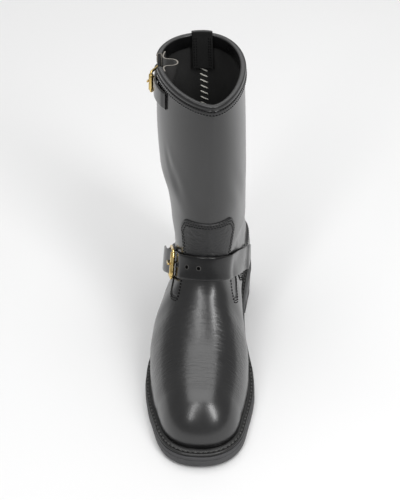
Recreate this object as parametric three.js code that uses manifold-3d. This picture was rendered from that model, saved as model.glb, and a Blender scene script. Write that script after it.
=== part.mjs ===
// Engineer boot for the right foot, in millimetres.
// +Z is up, the toe points to -Y and the outer side of the foot is -X.
// The origin is the middle of the heel's floor face.
import * as THREE from "three";
import Module from "manifold-3d";

const wasm = await Module();
wasm.setup();

// Sole
const soleLength = 302;
const heelBehindOrigin = 35;
const ballWidth = 110;
const toeSpring = 2.6;
const toeRound = 50;
const heelRound = 38;
const outsoleThickness = 8.5;
const midsoleThickness = 4;
const weltThickness = 3;
const weltMargin = 6.2;
const featherGap = 0.45;
const toeMargin = 10.5;
const weltInside = 7;
const heelHeight = 31;
const topLiftThickness = 7;
const heelTaper = 2.5;
const liftJoint = 2.2;
const heelSeat = 0.6;
const treadInset = 1.2;
const treadBevel = 1.4;
const midsoleInset = 0.4;
const weltInset = 0.8;
const insoleThickness = 3;

// Upper
const collarHeight = 302;
const instepHeight = 137;
const collarDepth = 135;
const collarWidth = 86;
const wall = 2.4;
const ankleBlend = 22;

// Overlays and straps
const clearance = 0.3;
const overlayClearance = 0.45;
const counterClearance = 0.8;
const facetRoom = 1.1;
const overlayThickness = 1.3;
const bandHeight = 10;
const facingHeight = 13;
const bandThickness = 1.1;
const tabWidth = 64;
const tabTop = 169.5;
const tabFoot = 120;
const tabCrown = 3.5;
const tabCorner = 9;
const tabShift = 0.018;
const tabSpread = 1.15;
const tabClearance = 0.6;
const shinReach = 69;
const backReach = 68;
const strapReach = 20;
const sideRoom = 0.6;
const frameCorner = 2;
const counterHeight = 48;
const counterReach = 0.135;
const pullWidth = 25;
const pullLength = 35;
const pullThickness = 2.6;
const pullStand = 5.5;
const pullShift = 0.0105;
const slitWidth = 22;
const slitDepth = 60;
const slitTop = 0.703;
const slitFoot = 0.004;
const gussetThickness = 1.4;
const gussetReach = 26;
const gussetLoop = 15;
const gussetLoopWidth = 17;
const gussetLoopRound = 0.6;
const strapThickness = 2.4;
const instepStrapWidth = 24.5;
const instepStrapHeight = 125;
const instepStrapSlope = 32;
const topStrapWidth = 17;
const topStrapHeight = collarHeight - 26;
const instepFrameLength = 27;
const topFrameLength = 21;
const wireRadius = 1.5;
const rollerThickness = 0.7;

const toeY = heelBehindOrigin - soleLength;

// Widest lines of the sole: shares of the sole's length, half widths as shares of the ball width.
const outlineRows = [
  { at: 0.0, outer: 0.4, inner: 0.4 },
  { at: 0.066, outer: 0.402, inner: 0.4 },
  { at: 0.126, outer: 0.42, inner: 0.402 },
  { at: 0.169, outer: 0.451, inner: 0.412 },
  { at: 0.219, outer: 0.497, inner: 0.433 },
  { at: 0.265, outer: 0.526, inner: 0.448 },
  { at: 0.311, outer: 0.55, inner: 0.455 },
  { at: 0.358, outer: 0.562, inner: 0.448 },
  { at: 0.411, outer: 0.564, inner: 0.432 },
  { at: 0.48, outer: 0.535, inner: 0.388 },
  { at: 0.56, outer: 0.46, inner: 0.342 },
  { at: 0.66, outer: 0.385, inner: 0.318 },
  { at: 0.745, outer: 0.358, inner: 0.328 },
  { at: 0.83, outer: 0.355, inner: 0.345 },
  { at: 0.88, outer: 0.355, inner: 0.355 },
  { at: 1.0, outer: 0.355, inner: 0.355 },
];

// Ridge of the foot: shares of the sole's length, height as a share of the instep height, how
// far the sides swell over the feather edge as a share of the half width, and how full they are.
const ridgeRows = [
  { at: 0.0, up: 0.37, swell: 0, full: 2.5 },
  { at: 0.06, up: 0.395, swell: 0, full: 2.5 },
  { at: 0.12, up: 0.425, swell: 0, full: 2.5 },
  { at: 0.2, up: 0.46, swell: 0, full: 2.5 },
  { at: 0.3, up: 0.526, swell: 0, full: 2.45 },
  { at: 0.36, up: 0.6, swell: 0.02, full: 2.35 },
  { at: 0.42, up: 0.7, swell: 0.05, full: 2.2 },
  { at: 0.46, up: 0.775, swell: 0.08, full: 2.05 },
  { at: 0.52, up: 0.92, swell: 0.12, full: 1.85 },
  { at: 0.6, up: 1.05, swell: 0.15, full: 1.6 },
  { at: 1.0, up: 1.1, swell: 0.12, full: 1.5 },
];

// Shaft sections: height as a share of the collar height, front, back and widest place as shares
// of the collar depth, outer and inner half widths as shares of the collar width.
const shaftRows = [
  { up: 0.155, front: -0.42, back: 0.222, widest: -0.02, outer: 0.385, inner: 0.385, twist: 0, power: 2.0 },
  { up: 0.2, front: -0.5, back: 0.24, widest: -0.06, outer: 0.405, inner: 0.39, twist: 0, power: 2.0 },
  { up: 0.265, front: -0.6, back: 0.228, widest: -0.12, outer: 0.39, inner: 0.335, twist: 0, power: 2.0 },
  { up: 0.36, front: -0.72, back: 0.2, widest: -0.2, outer: 0.4, inner: 0.335, twist: 0, power: 1.95 },
  { up: 0.46, front: -0.772, back: 0.205, widest: -0.26, outer: 0.45, inner: 0.41, twist: 0.02, power: 1.9 },
  { up: 0.57, front: -0.765, back: 0.228, widest: -0.25, outer: 0.5, inner: 0.425, twist: 0.05, power: 1.9 },
  { up: 0.66, front: -0.748, back: 0.25, widest: -0.22, outer: 0.58, inner: 0.43, twist: 0.08, power: 1.84 },
  { up: 0.8, front: -0.722, back: 0.28, widest: -0.16, outer: 0.6, inner: 0.428, twist: 0.11, power: 1.78 },
  { up: 1.0, front: -0.68, back: 0.318, widest: -0.09, outer: 0.572, inner: 0.415, twist: 0.13, power: 1.7 },
];

// Line inside the boot from which its surface is found: shares of the sole's length behind the
// toe and of the collar height.
const coreRows = [
  { along: 0.0, back: 0.18, up: 0.13 },
  { along: 0.15, back: 0.3, up: 0.14 },
  { along: 0.35, back: 0.47, up: 0.215 },
  { along: 0.5, back: 0.62, up: 0.33 },
  { along: 0.62, back: 0.745, up: 0.47 },
  { along: 0.8, back: 0.77, up: 0.7 },
  { along: 1.0, back: 0.8, up: 1.0 },
];

const clamp = (value, low, high) => Math.min(high, Math.max(low, value));
const mix = (a, b, share) => a + (b - a) * share;
const ease = (low, high, value) => {
  const share = clamp((value - low) / (high - low), 0, 1);
  return share * share * (3 - 2 * share);
};

// A smooth curve through one column of a table.
function column(rows, key, at) {
  const x = rows.map((row) => row[at]);
  const y = rows.map((row) => row[key]);
  const last = x.length - 1;
  const step = (i) => (y[i + 1] - y[i]) / (x[i + 1] - x[i]);
  const slope = y.map((_, i) => {
    if (i === 0) return step(0);
    if (i === last) return step(last - 1);
    const before = step(i - 1);
    const after = step(i);
    return before * after <= 0 ? 0 : (2 * before * after) / (before + after);
  });
  return (value) => {
    const place = clamp(value, x[0], x[last]);
    let i = 0;
    while (i < last - 1 && place > x[i + 1]) i += 1;
    const gap = x[i + 1] - x[i];
    const t = (place - x[i]) / gap;
    const u = 1 - t;
    return (
      y[i] * u * u * (1 + 2 * t) +
      y[i + 1] * t * t * (3 - 2 * t) +
      gap * (slope[i] * t * u * u - slope[i + 1] * t * t * u)
    );
  };
}

const outerHalf = column(outlineRows, "outer", "at");
const innerHalf = column(outlineRows, "inner", "at");
const ridgeShare = column(ridgeRows, "up", "at");
const swellShare = column(ridgeRows, "swell", "at");
const fullness = column(ridgeRows, "full", "at");
const shaft = {};
for (const key of ["front", "back", "widest", "outer", "inner", "twist", "power"]) {
  shaft[key] = column(shaftRows, key, "up");
}
const coreBack = column(coreRows, "back", "along");
const coreUp = column(coreRows, "up", "along");
const coreAlong = column(coreRows, "along", "back");

const fromToe = (y) => y - toeY;
const heelBreast = soleLength * 0.75;
const archStart = soleLength * 0.38;
const springLength = soleLength * 0.22;
const toePower = 2.25;
const heelPower = 2;
const toeInset = (inset) => (inset * toeMargin) / weltMargin;

// Floor side of the outsole: toe spring, flat tread, arch and heel seat.
function treadHeight(y) {
  const back = fromToe(y);
  const spring = clamp((springLength - back) / springLength, 0, 1);
  return toeSpring * spring ** 1.8 + heelHeight * ease(archStart, heelBreast + 6, back);
}

const stackHeight = outsoleThickness + midsoleThickness + weltThickness;
const weltTop = (y) => treadHeight(y) + stackHeight;
const feather = (y) => weltTop(y) + featherGap;

function widthShare(back, inset) {
  const front = clamp((toeRound - back) / (toeRound - toeInset(inset)), 0, 1);
  const heel = clamp((back - soleLength + heelRound) / (heelRound - inset), 0, 1);
  const toe = (1 - front ** toePower) ** (1 / toePower);
  return toe * (1 - heel ** heelPower) ** (1 / heelPower);
}

function outlineX(side, y, inset) {
  const half = side < 0 ? outerHalf : innerHalf;
  const back = fromToe(y);
  return side * (half(back / soleLength) * ballWidth - inset) * widthShare(back, inset);
}

// The sole's outline moved inwards: share 0 is the toe, 0.25 the inner side, 0.5 the heel.
function outlineLoop(inset) {
  const fine = 160;
  const points = [];
  for (const side of [1, -1]) {
    for (let i = 0; i < fine; i += 1) {
      const share = 0.5 - 0.5 * Math.cos((Math.PI * i) / fine);
      const along = side > 0 ? share : 1 - share;
      const y = mix(toeY + toeInset(inset), heelBehindOrigin - inset, along);
      points.push(new THREE.Vector2(outlineX(side, y, inset), y));
    }
  }
  points.push(points[0].clone());
  const lengths = [0];
  for (let i = 1; i < points.length; i += 1) {
    lengths.push(lengths[i - 1] + points[i].distanceTo(points[i - 1]));
  }
  const half = lengths[fine];
  const whole = lengths[lengths.length - 1];
  return (share) => {
    const turn = share - Math.floor(share);
    const goal = turn < 0.5 ? turn * 2 * half : half + (turn - 0.5) * 2 * (whole - half);
    let low = 0;
    let high = points.length - 1;
    while (high - low > 1) {
      const middle = (low + high) >> 1;
      if (lengths[middle] > goal) high = middle;
      else low = middle;
    }
    const part = (goal - lengths[low]) / (lengths[high] - lengths[low] || 1);
    return points[low].clone().lerp(points[high], part);
  };
}

// Rough distance from the foot's part of the upper, negative inside it.
function footField(p) {
  const back = fromToe(p.y);
  const low = feather(p.y);
  const rise = Math.max(0, (p.z - low) / (ridgeShare(back / soleLength) * instepHeight - low));
  const edge = (p.x < 0 ? outerHalf : innerHalf)(back / soleLength) * ballWidth - weltMargin;
  const swell = ease(0, 0.25, rise) * (1 - ease(0.35, 0.8, rise));
  const half = edge * (1 + swellShare(back / soleLength) * swell);
  const full = fullness(back / soleLength);
  const front = Math.max(0, (toeRound - back) / (toeRound - toeMargin));
  const heel = Math.max(0, (back - soleLength + heelRound) / (heelRound - weltMargin));
  const side = (Math.abs(p.x) / half) ** toePower + front ** toePower + heel ** toePower;
  return ((side ** (full / toePower) + rise ** 2.1) ** (1 / 2.3) - 1) * instepHeight * 0.3;
}

// Rough distance from the shaft and heel part of the upper.
function shaftField(p) {
  const up = p.z / collarHeight;
  const widest = shaft.widest(up) * collarDepth;
  const along = p.y - widest;
  const across = p.x + shaft.twist(up) * along;
  const half = (across < 0 ? shaft.outer(up) : shaft.inner(up)) * collarWidth;
  const end = along < 0 ? shaft.front(up) : shaft.back(up);
  const power = along < 0 ? shaft.power(up) : 2.1;
  const reach = Math.abs(end * collarDepth - widest);
  const sum = (Math.abs(across) / half) ** power + (Math.abs(along) / reach) ** power;
  return (sum ** (1 / power) - 1) * collarWidth * 0.45;
}

function field(p) {
  const a = footField(p);
  const b = shaftField(p);
  const low = feather(p.y);
  const blend = mix(2, ankleBlend, ease(low + 8, low + 60, p.z));
  const near = Math.max(0, blend - Math.abs(a - b)) / blend;
  return Math.min(a, b) - (near * near * blend) / 4;
}

function outward(p) {
  const h = 0.6;
  const normal = new THREE.Vector3();
  for (const axis of ["x", "y", "z"]) {
    const ahead = p.clone();
    const behind = p.clone();
    ahead[axis] += h;
    behind[axis] -= h;
    normal[axis] = field(ahead) - field(behind);
  }
  return normal.normalize();
}

// First place along a ray where the field turns positive.
function hit(start, direction, reach = 190) {
  let near = 0;
  let far = reach;
  const probe = new THREE.Vector3();
  for (let step = 1; step <= 40; step += 1) {
    const distance = (reach * step) / 40;
    if (field(probe.copy(direction).multiplyScalar(distance).add(start)) > 0) {
      far = distance;
      break;
    }
    near = distance;
  }
  for (let i = 0; i < 26; i += 1) {
    const middle = (near + far) / 2;
    if (field(probe.copy(direction).multiplyScalar(middle).add(start)) > 0) far = middle;
    else near = middle;
  }
  return new THREE.Vector3().copy(direction).multiplyScalar(near).add(start);
}

const featherLoop = outlineLoop(weltMargin);
const coreX = -4;

function corePoint(along) {
  return new THREE.Vector3(coreX, toeY + coreBack(along) * soleLength, coreUp(along) * collarHeight);
}

// Direction at a right angle to the core, up over the foot and forwards on the shaft.
function coreNormal(along) {
  const tangent = corePoint(Math.min(1, along + 0.02)).sub(corePoint(Math.max(0, along - 0.02)));
  const level = ease(0.55, 0.9, along);
  const normal = new THREE.Vector3(0, -tangent.z, tangent.y).normalize();
  return normal.lerp(new THREE.Vector3(0, -1, 0), level).normalize();
}

const topEdge = collarHeight - bandThickness - clearance;

// One line of the outer surface from the feather edge up to the collar.
const meridians = new Map();
function meridian(share) {
  const key = share.toFixed(6);
  if (meridians.has(key)) return meridians.get(key);
  const edge = featherLoop(share);
  const start = new THREE.Vector3(edge.x, edge.y, feather(edge.y));
  const back = clamp(fromToe(edge.y), toeRound + 4, soleLength - heelRound);
  const base = new THREE.Vector3(coreX, toeY + back, start.z);
  const first = coreAlong(clamp(fromToe(edge.y) / soleLength, coreRows[0].back, 0.62));
  const flat = start.clone().sub(base).normalize();
  const angle = 2 * Math.PI * share;
  const steps = 64;
  const points = [start];
  for (let i = 1; i <= steps; i += 1) {
    const v = i / steps;
    const along = mix(first, 1, v ** 1.25);
    const origin = base.clone().lerp(corePoint(along), ease(0, 0.3, v));
    if (i === steps) origin.z = topEdge;
    const lead = Math.cos(angle) > 0 ? coreNormal(along) : new THREE.Vector3(0, -1, 0);
    const aim = lead.multiplyScalar(Math.cos(angle));
    aim.x += Math.sin(angle);
    aim.normalize();
    const direction = flat.clone().lerp(aim, ease(0, 0.26, v)).normalize();
    if (i === steps) direction.setZ(0).normalize();
    points.push(hit(origin, direction));
  }
  const lengths = [0];
  for (let i = 1; i <= steps; i += 1) {
    lengths.push(lengths[i - 1] + points[i].distanceTo(points[i - 1]));
  }
  const line = { points, lengths, length: lengths[steps] };
  meridians.set(key, line);
  return line;
}

// A place on the outer surface: round the boot by share, up it by millimetres from the feather.
function place(share, up) {
  const { points, lengths, length } = meridian(share);
  const goal = clamp(up, 0, length);
  let i = 1;
  while (i < points.length - 1 && lengths[i] < goal) i += 1;
  const part = (goal - lengths[i - 1]) / (lengths[i] - lengths[i - 1]);
  return points[i - 1].clone().lerp(points[i], part);
}

function normalAt(point, level) {
  const normal = outward(point);
  if (level) normal.setZ(0).normalize();
  return normal;
}

// A place on the surface, moved out by an offset; beyond the top edge it goes straight up.
function raised(share, up, offset) {
  const { length } = meridian(share);
  const point = place(share, up);
  const level = up <= 0.01 || up >= length - 0.01;
  point.addScaledVector(normalAt(point, level), offset);
  point.z += Math.max(0, up - length);
  return point;
}

// Joins rings of points into one closed body; open runs get flat ends.
function skin(rings, closed) {
  const size = rings[0].length;
  const positions = rings.flat().flatMap((p) => [p.x, p.y, p.z]);
  const index = [];
  const last = closed ? rings.length : rings.length - 1;
  for (let i = 0; i < last; i += 1) {
    const here = i * size;
    const next = ((i + 1) % rings.length) * size;
    for (let j = 0; j < size; j += 1) {
      const k = (j + 1) % size;
      index.push(here + j, next + j, next + k, here + j, next + k, here + k);
    }
  }
  if (!closed) {
    for (const [base, turn] of [[0, false], [(rings.length - 1) * size, true]]) {
      for (let j = 0; j < size / 2 - 1; j += 1) {
        const a = base + j;
        const b = base + j + 1;
        const c = base + size - 2 - j;
        const d = base + size - 1 - j;
        index.push(...(turn ? [a, c, b, a, d, c] : [a, b, c, a, c, d]));
      }
    }
  }
  const geometry = new THREE.BufferGeometry();
  geometry.setAttribute("position", new THREE.Float32BufferAttribute(positions, 3));
  geometry.setIndex(index);
  return volumeOf(geometry) < 0 ? flipped(geometry) : geometry;
}

function volumeOf(geometry) {
  const position = geometry.getAttribute("position");
  const index = geometry.getIndex().array;
  const corners = [new THREE.Vector3(), new THREE.Vector3(), new THREE.Vector3()];
  let sum = 0;
  for (let i = 0; i < index.length; i += 3) {
    corners.forEach((corner, k) => corner.fromBufferAttribute(position, index[i + k]));
    sum += corners[0].dot(corners[1].clone().cross(corners[2]));
  }
  return sum;
}

function flipped(geometry) {
  const index = geometry.getIndex().array;
  for (let i = 0; i < index.length; i += 3) {
    [index[i + 1], index[i + 2]] = [index[i + 2], index[i + 1]];
  }
  return geometry;
}

function solidOf(geometry) {
  const vertProperties = new Float32Array(geometry.getAttribute("position").array);
  const triVerts = new Uint32Array(geometry.getIndex().array);
  return new wasm.Manifold(new wasm.Mesh({ numProp: 3, vertProperties, triVerts }));
}

function geometryOf(solid) {
  const mesh = solid.getMesh();
  const geometry = new THREE.BufferGeometry();
  const position = new THREE.Float32BufferAttribute(mesh.vertProperties, 3);
  geometry.setAttribute("position", position);
  geometry.setIndex(new THREE.Uint32BufferAttribute(mesh.triVerts, 1));
  return geometry;
}

// Stations from toe to heel, closer together at the round ends.
function stations(count, inset, from = 0, to = soleLength) {
  const start = Math.max(toeY + from, toeY + toeInset(inset) + 0.25);
  const end = Math.min(toeY + to, heelBehindOrigin - inset - 0.25);
  return Array.from({ length: count }, (_, i) => {
    const share = i / (count - 1);
    const eased = 0.5 - 0.5 * Math.cos(Math.PI * share);
    return mix(start, end, mix(share, eased, 0.75));
  });
}

// A layer of the sole between two heights, with its own inset at each level.
function layer(levels, count, from, to) {
  const widest = Math.min(...levels.map((level) => level.inset));
  const rings = stations(count, widest, from, to).map((y) => {
    const side = (turn) =>
      levels.map(({ inset, height }) => {
        const near = clamp(y, toeY + toeInset(inset) + 0.25, heelBehindOrigin - inset - 0.25);
        return new THREE.Vector3(outlineX(turn, near, inset), near, height(y));
      });
    return [...side(-1), ...side(1).reverse()];
  });
  return skin(rings, false);
}

function makeOutsole() {
  const low = (y) => treadHeight(y);
  const high = (y) => treadHeight(y) + outsoleThickness - clearance;
  return layer([
    { inset: treadInset, height: low },
    { inset: 0, height: (y) => low(y) + treadBevel },
    { inset: 0, height: high },
  ], 36);
}

function makeMidsole() {
  const low = (y) => treadHeight(y) + outsoleThickness;
  const high = (y) => low(y) + midsoleThickness - clearance;
  return layer([{ inset: midsoleInset, height: low }, { inset: midsoleInset, height: high }], 34);
}

// The welt is a strip round the edge that carries the upper and the rim of the insole.
function makeWelt() {
  const outer = outlineLoop(weltInset);
  const inner = outlineLoop(weltMargin + wall + weltInside);
  const count = 64;
  const rings = Array.from({ length: count }, (_, i) => {
    const share = i / count;
    const a = outer(share);
    const b = inner(share);
    const corner = (p, rise) => new THREE.Vector3(p.x, p.y, weltTop(p.y) - rise);
    const low = weltThickness - clearance;
    return [corner(a, low), corner(a, 0), corner(b, 0), corner(b, low)];
  });
  return skin(rings, true);
}

// The insole drops inside the welt and its rim rests on top of it.
function makeInsole() {
  const rim = weltMargin + wall + facetRoom;
  const drop = weltMargin + wall + weltInside + facetRoom;
  const low = (y) => weltTop(y) - weltThickness + clearance;
  const step = (y) => weltTop(y) + overlayClearance;
  const high = (y) => step(y) + insoleThickness;
  return layer([
    { inset: drop, height: low },
    { inset: drop, height: step },
    { inset: rim, height: step },
    { inset: rim, height: high },
  ], 34);
}

function heelPiece(low, high, lowInset, highInset) {
  const count = 15;
  const levels = [{ inset: lowInset, height: () => low }, { inset: highInset, height: () => high }];
  return layer(levels, count, heelBreast + heelTaper, soleLength);
}

function makeHeel() {
  return heelPiece(topLiftThickness + clearance, heelHeight - clearance, liftJoint, heelSeat);
}

function makeTopLift() {
  return heelPiece(0, topLiftThickness, heelTaper, liftJoint);
}

// Round the boot, closer together at the toe, the heel and the slit.
function roundShares(count) {
  return Array.from({ length: count }, (_, i) => {
    const share = i / count;
    return share - 0.028 * Math.sin(4 * Math.PI * share);
  });
}

const upperLines = 48;
function makeUpper() {
  const rows = 24;
  const rings = roundShares(upperLines).map((share) => {
    const { length } = meridian(share);
    const heights = Array.from({ length: rows }, (_, j) => length * (j / (rows - 1)) ** 1.06);
    const outer = heights.map((up) => raised(share, up, 0));
    const inner = heights.map((up) => raised(share, up, -wall));
    inner[0].z = feather(inner[0].y);
    return [...outer, ...inner.reverse()];
  });
  return geometryOf(solidOf(skin(rings, true)).subtract(solidOf(slitCutter())));
}

// Half of the slit's opening, as a share of the way round, at a depth below the top edge.
function slitHalf(down) {
  const opening = slitWidth / (collarWidth * Math.PI * 1.2);
  return (opening / 2) * (1 - clamp(down / slitDepth, 0, 1)) + slitFoot;
}

function slitCutter() {
  const depths = [-6, 0, 15, 30, 45, slitDepth];
  const ring = (offset) => {
    const edge = (turn) =>
      depths.map((down) => {
        const share = slitTop + turn * slitHalf(down);
        return raised(share, meridian(share).length - down, offset);
      });
    return [...edge(-1), ...edge(1).reverse()];
  };
  return skin([ring(-wall - 3), ring(3)], false);
}

// A strip of leather laid on the surface between two offsets.
function sheet(shares, heights, low, high) {
  const rings = shares.map((share) => {
    const ups = heights(share);
    return [
      ...ups.map((up) => raised(share, up, high(share, up))),
      ...ups.map((up) => raised(share, up, low(share, up))).reverse(),
    ];
  });
  return skin(rings, false);
}

// The upper's own lines between two shares of the way round, with both ends.
function sharesBetween(from, to) {
  const lines = [-1, 0, 1].flatMap((turn) => roundShares(upperLines).map((share) => share + turn));
  const inside = lines.filter((share) => share > from + 0.004 && share < to - 0.004);
  return [from, ...inside, to];
}

const spread = (from, to, count) =>
  Array.from({ length: count }, (_, i) => mix(from, to, i / (count - 1)));

// Turned band over the top edge: outside lap, fold and inside facing in one piece.
function makeCollarBand() {
  const half = slitHalf(0) + 0.002;
  const shares = sharesBetween(slitTop + half - 1, slitTop - half);
  const out = overlayClearance;
  const into = wall + overlayClearance;
  const rings = shares.map((share) => {
    const { length } = meridian(share);
    const top = length + clearance;
    const at = (up, offset) => raised(share, up, offset);
    const over = [
      at(length - bandHeight, out + bandThickness),
      at(top + bandThickness * 0.4, out + bandThickness),
      at(top + bandThickness, out * 0.2),
      at(top + bandThickness, -into + out * 0.8),
      at(top + bandThickness * 0.4, -into - bandThickness),
      at(length - facingHeight, -into - bandThickness),
    ];
    const under = [
      at(length - bandHeight, out),
      at(top, out),
      at(top, 0),
      at(top, -wall),
      at(top, -into),
      at(length - facingHeight, -into),
    ];
    return [...over, ...under.reverse()];
  });
  return skin(rings, false);
}

function makeCounter() {
  const half = counterReach;
  const shares = sharesBetween(0.5 - half, 0.5 + half);
  const heights = (share) => {
    const away = Math.abs(share - 0.5) / half;
    const top = counterHeight * (1 - 0.35 * away * away - 0.25 * ease(0.8, 1, away));
    return spread(1.2, top, 6);
  };
  const low = () => counterClearance;
  const high = () => counterClearance + overlayThickness;
  return sheet(shares, heights, low, high);
}

// How far up a line of the surface a height is reached, above the vamp.
function upAt(share, height) {
  const { points, lengths } = meridian(share);
  let i = points.length - 1;
  while (i > 1 && points[i - 1].z > height) i -= 1;
  const part = (height - points[i - 1].z) / (points[i].z - points[i - 1].z);
  return mix(lengths[i - 1], lengths[i], clamp(part, 0, 1));
}

// The vamp's tongue-shaped top that runs up the shin from under the instep strap.
function makeShinTab() {
  const half = Math.asin(tabWidth / 2 / shinReach) / (2 * Math.PI);
  const columns = spread(-1, 1, 15).map((side) => {
    const away = Math.abs(side);
    const corner = tabCorner * (1 - Math.sqrt(1 - ease(0.7, 1, away) ** 2 * 0.96));
    const top = tabTop + tabCrown * (1 - away * away) - corner;
    return spread(0, 1, 7).map((rise) => {
      const share = tabShift + side * half * mix(tabSpread, 1, rise);
      return { share, up: upAt(share, mix(tabFoot, top, rise)) };
    });
  });
  const rings = columns.map((column) => {
    const at = (offset) => column.map(({ share, up }) => raised(share, up, offset));
    return [...at(tabClearance + overlayThickness), ...at(tabClearance).reverse()];
  });
  return skin(rings, false);
}

const behindFacing = wall + overlayClearance + bandThickness + overlayClearance;

// Soft leather let in behind the slit; its top folds into the shaft as a rounded loop.
function makeGusset() {
  const around = 2 * Math.PI * backReach;
  const bulge = (t) => ({
    across: gussetLoopWidth * (t + (gussetLoopRound * Math.sin(2 * Math.PI * t)) / (2 * Math.PI)),
    deep: (gussetLoop * (1 + Math.cos(Math.PI * t))) / 2,
  });
  const flap = (across) => ({ across, deep: 0 });
  const flaps = spread(gussetReach, gussetLoopWidth, 3).slice(0, 2);
  const plan = [
    ...flaps.map((across) => flap(-across)),
    ...spread(-1, 1, 13).map(bulge),
    ...flaps.toReversed().map(flap),
  ];
  const spot = (i, down, thick) => {
    const fold = 1 - ease(0, slitDepth, down);
    const before = plan[Math.max(i - 1, 0)];
    const after = plan[Math.min(i + 1, plan.length - 1)];
    const run = after.across - before.across;
    const dive = (after.deep - before.deep) * fold;
    const size = Math.hypot(run, dive);
    const share = slitTop + (plan[i].across - (dive / size) * thick) / around;
    const deep = plan[i].deep * fold + (run / size) * thick;
    return raised(share, meridian(share).length - down, -behindFacing - deep);
  };
  const downs = spread(slitDepth + 6, 1, 8);
  const rings = plan.map((_, i) => {
    const at = (thick) => downs.map((down) => spot(i, down, thick));
    return [...at(0), ...at(gussetThickness).reverse()];
  });
  return skin(rings, false);
}

// Pull strap sewn inside the back of the collar; its fold stands over the edge.
function makePullStrap() {
  const half = pullWidth / 2 / (2 * Math.PI * backReach);
  const shares = spread(0.5 + pullShift - half, 0.5 + pullShift + half, 5);
  const heights = (share) => {
    const { length } = meridian(share);
    const top = length + clearance + bandThickness + pullStand;
    return [...spread(length - pullLength, length, 5), top - pullThickness / 2, top];
  };
  const middle = -behindFacing - pullThickness / 2;
  const thick = (share, up) => {
    const top = meridian(share).length + clearance + bandThickness + pullStand;
    return (pullThickness / 2) * (up > top - 0.1 ? 0.45 : 1);
  };
  return sheet(
    shares,
    heights,
    (share, up) => middle - thick(share, up),
    (share, up) => middle + thick(share, up),
  );
}

// A strap's run round the boot lies in a plane that tips towards the heel.
const rad = THREE.MathUtils.degToRad;
function strapFrame(strap, angle) {
  const at = (degrees) => {
    const turn = rad(degrees);
    const slope = rad(strap.slope);
    const forward = Math.cos(turn);
    const aim = new THREE.Vector3(
      Math.sin(turn), -forward * Math.cos(slope), forward * Math.sin(slope));
    return hit(strap.centre.clone(), aim);
  };
  const point = at(angle);
  const normal = outward(point);
  const along = at(angle + 1).sub(at(angle - 1)).normalize();
  const across = new THREE.Vector3().crossVectors(normal, along).normalize();
  if (across.z < 0) across.negate();
  return { point, normal, along, across };
}

// Ring of a strap's section: three points over its width, lying on the surface or flat.
function strapRing(frame, middle, thickness, half, lies) {
  const row = (offset) =>
    [-1, 0, 1].map((side) => {
      const point = frame.point.clone().addScaledVector(frame.across, side * half);
      if (lies) {
        const inside = point.clone().addScaledVector(frame.normal, -strapReach);
        point.copy(hit(inside, frame.normal, strapReach * 2));
      }
      return point.addScaledVector(frame.normal, offset);
    });
  return [...row(middle + thickness / 2), ...row(middle - thickness / 2).reverse()];
}

// Flat frame of a buckle: s runs from the rear bar to the roller, h stands off the surface.
function buckleFrame(strap) {
  const rear = strapFrame(strap, strap.rear);
  const nose = strapFrame(strap, strap.nose);
  const along = nose.point.clone().sub(rear.point);
  const length = along.length();
  along.normalize();
  const normal = rear.normal.clone().add(nose.normal);
  normal.addScaledVector(along, -normal.dot(along)).normalize();
  const across = new THREE.Vector3().crossVectors(normal, along).normalize();
  if (across.z < 0) across.negate();
  const at = (s, h, side = 0) =>
    rear.point.clone()
      .addScaledVector(along, s)
      .addScaledVector(normal, h)
      .addScaledVector(across, side);
  return { at, along, normal, across, length };
}

// Heights over the surface of what is stacked at a buckle.
function buckleStack(strap) {
  const billet = strap.billet;
  const low = strap.gap + billet / 2;
  const wrap = strap.wire + clearance + billet / 2;
  const bar = low + wrap;
  const tail = bar + wrap + billet / 2 + clearance + strapThickness / 2;
  const under = strap.gap + strapThickness / 2;
  const rollerRadius = strap.wire + clearance + rollerThickness;
  const roller = under + strapThickness / 2 + overlayClearance * 2 + rollerRadius;
  return { low, wrap, bar, tail, under, rollerRadius, roller };
}

// Extra lift of a strap where it crosses the shin tab and the counter.
function liftOver(strap, angle) {
  if (!strap.overlays) return 0;
  const turn = Math.abs(angle);
  const tab = (1 - ease(20, 30, turn)) * (overlayThickness + tabClearance);
  const counter = ease(108, 122, turn) * (overlayThickness + counterClearance);
  return tab + counter;
}

// How a strap leaves the surface at its buckle, climbs over the frame and runs out as a tail.
const climbRows = [
  { along: 1.0, rise: 0.05 },
  { along: 0.8, rise: 0.14 },
  { along: 0.5, rise: 0.44 },
  { along: 0.2, rise: 0.85 },
  { along: 0.0, rise: 1.0 },
];
const tailRows = [
  { along: 0.3, width: 1 },
  { along: 0.6, width: 1 },
  { along: 0.88, width: 1 },
  { along: 0.96, width: 0.8 },
  { along: 1.0, width: 0.45 },
];

function makeStrap(strap) {
  const stack = buckleStack(strap);
  const buckle = buckleFrame(strap);
  const half = strap.width / 2;
  const lying = spread(strap.start, strap.nose + strap.lead, strap.steps).map((angle) => {
    const lift = stack.under + liftOver(strap, angle);
    return strapRing(strapFrame(strap, angle), lift, strapThickness, half, true);
  });
  const flat = climbRows.map(({ along, rise }) => {
    const frame = { ...buckle, point: buckle.at(along * buckle.length, 0) };
    return strapRing(frame, mix(stack.under, stack.tail, rise), strapThickness, half, false);
  });
  const tail = tailRows.map(({ along, width }) => {
    const frame = { ...buckle, point: buckle.at(-along * strap.tail, 0) };
    const sag = strap.tailSag * along * along;
    return strapRing(frame, stack.tail - sag, strapThickness, half * width, false);
  });
  const strip = skin([...lying, ...flat, ...tail], false);
  return geometryOf(solidOf(strip).subtract(solidOf(prongTube(strap, clearance))));
}

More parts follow.
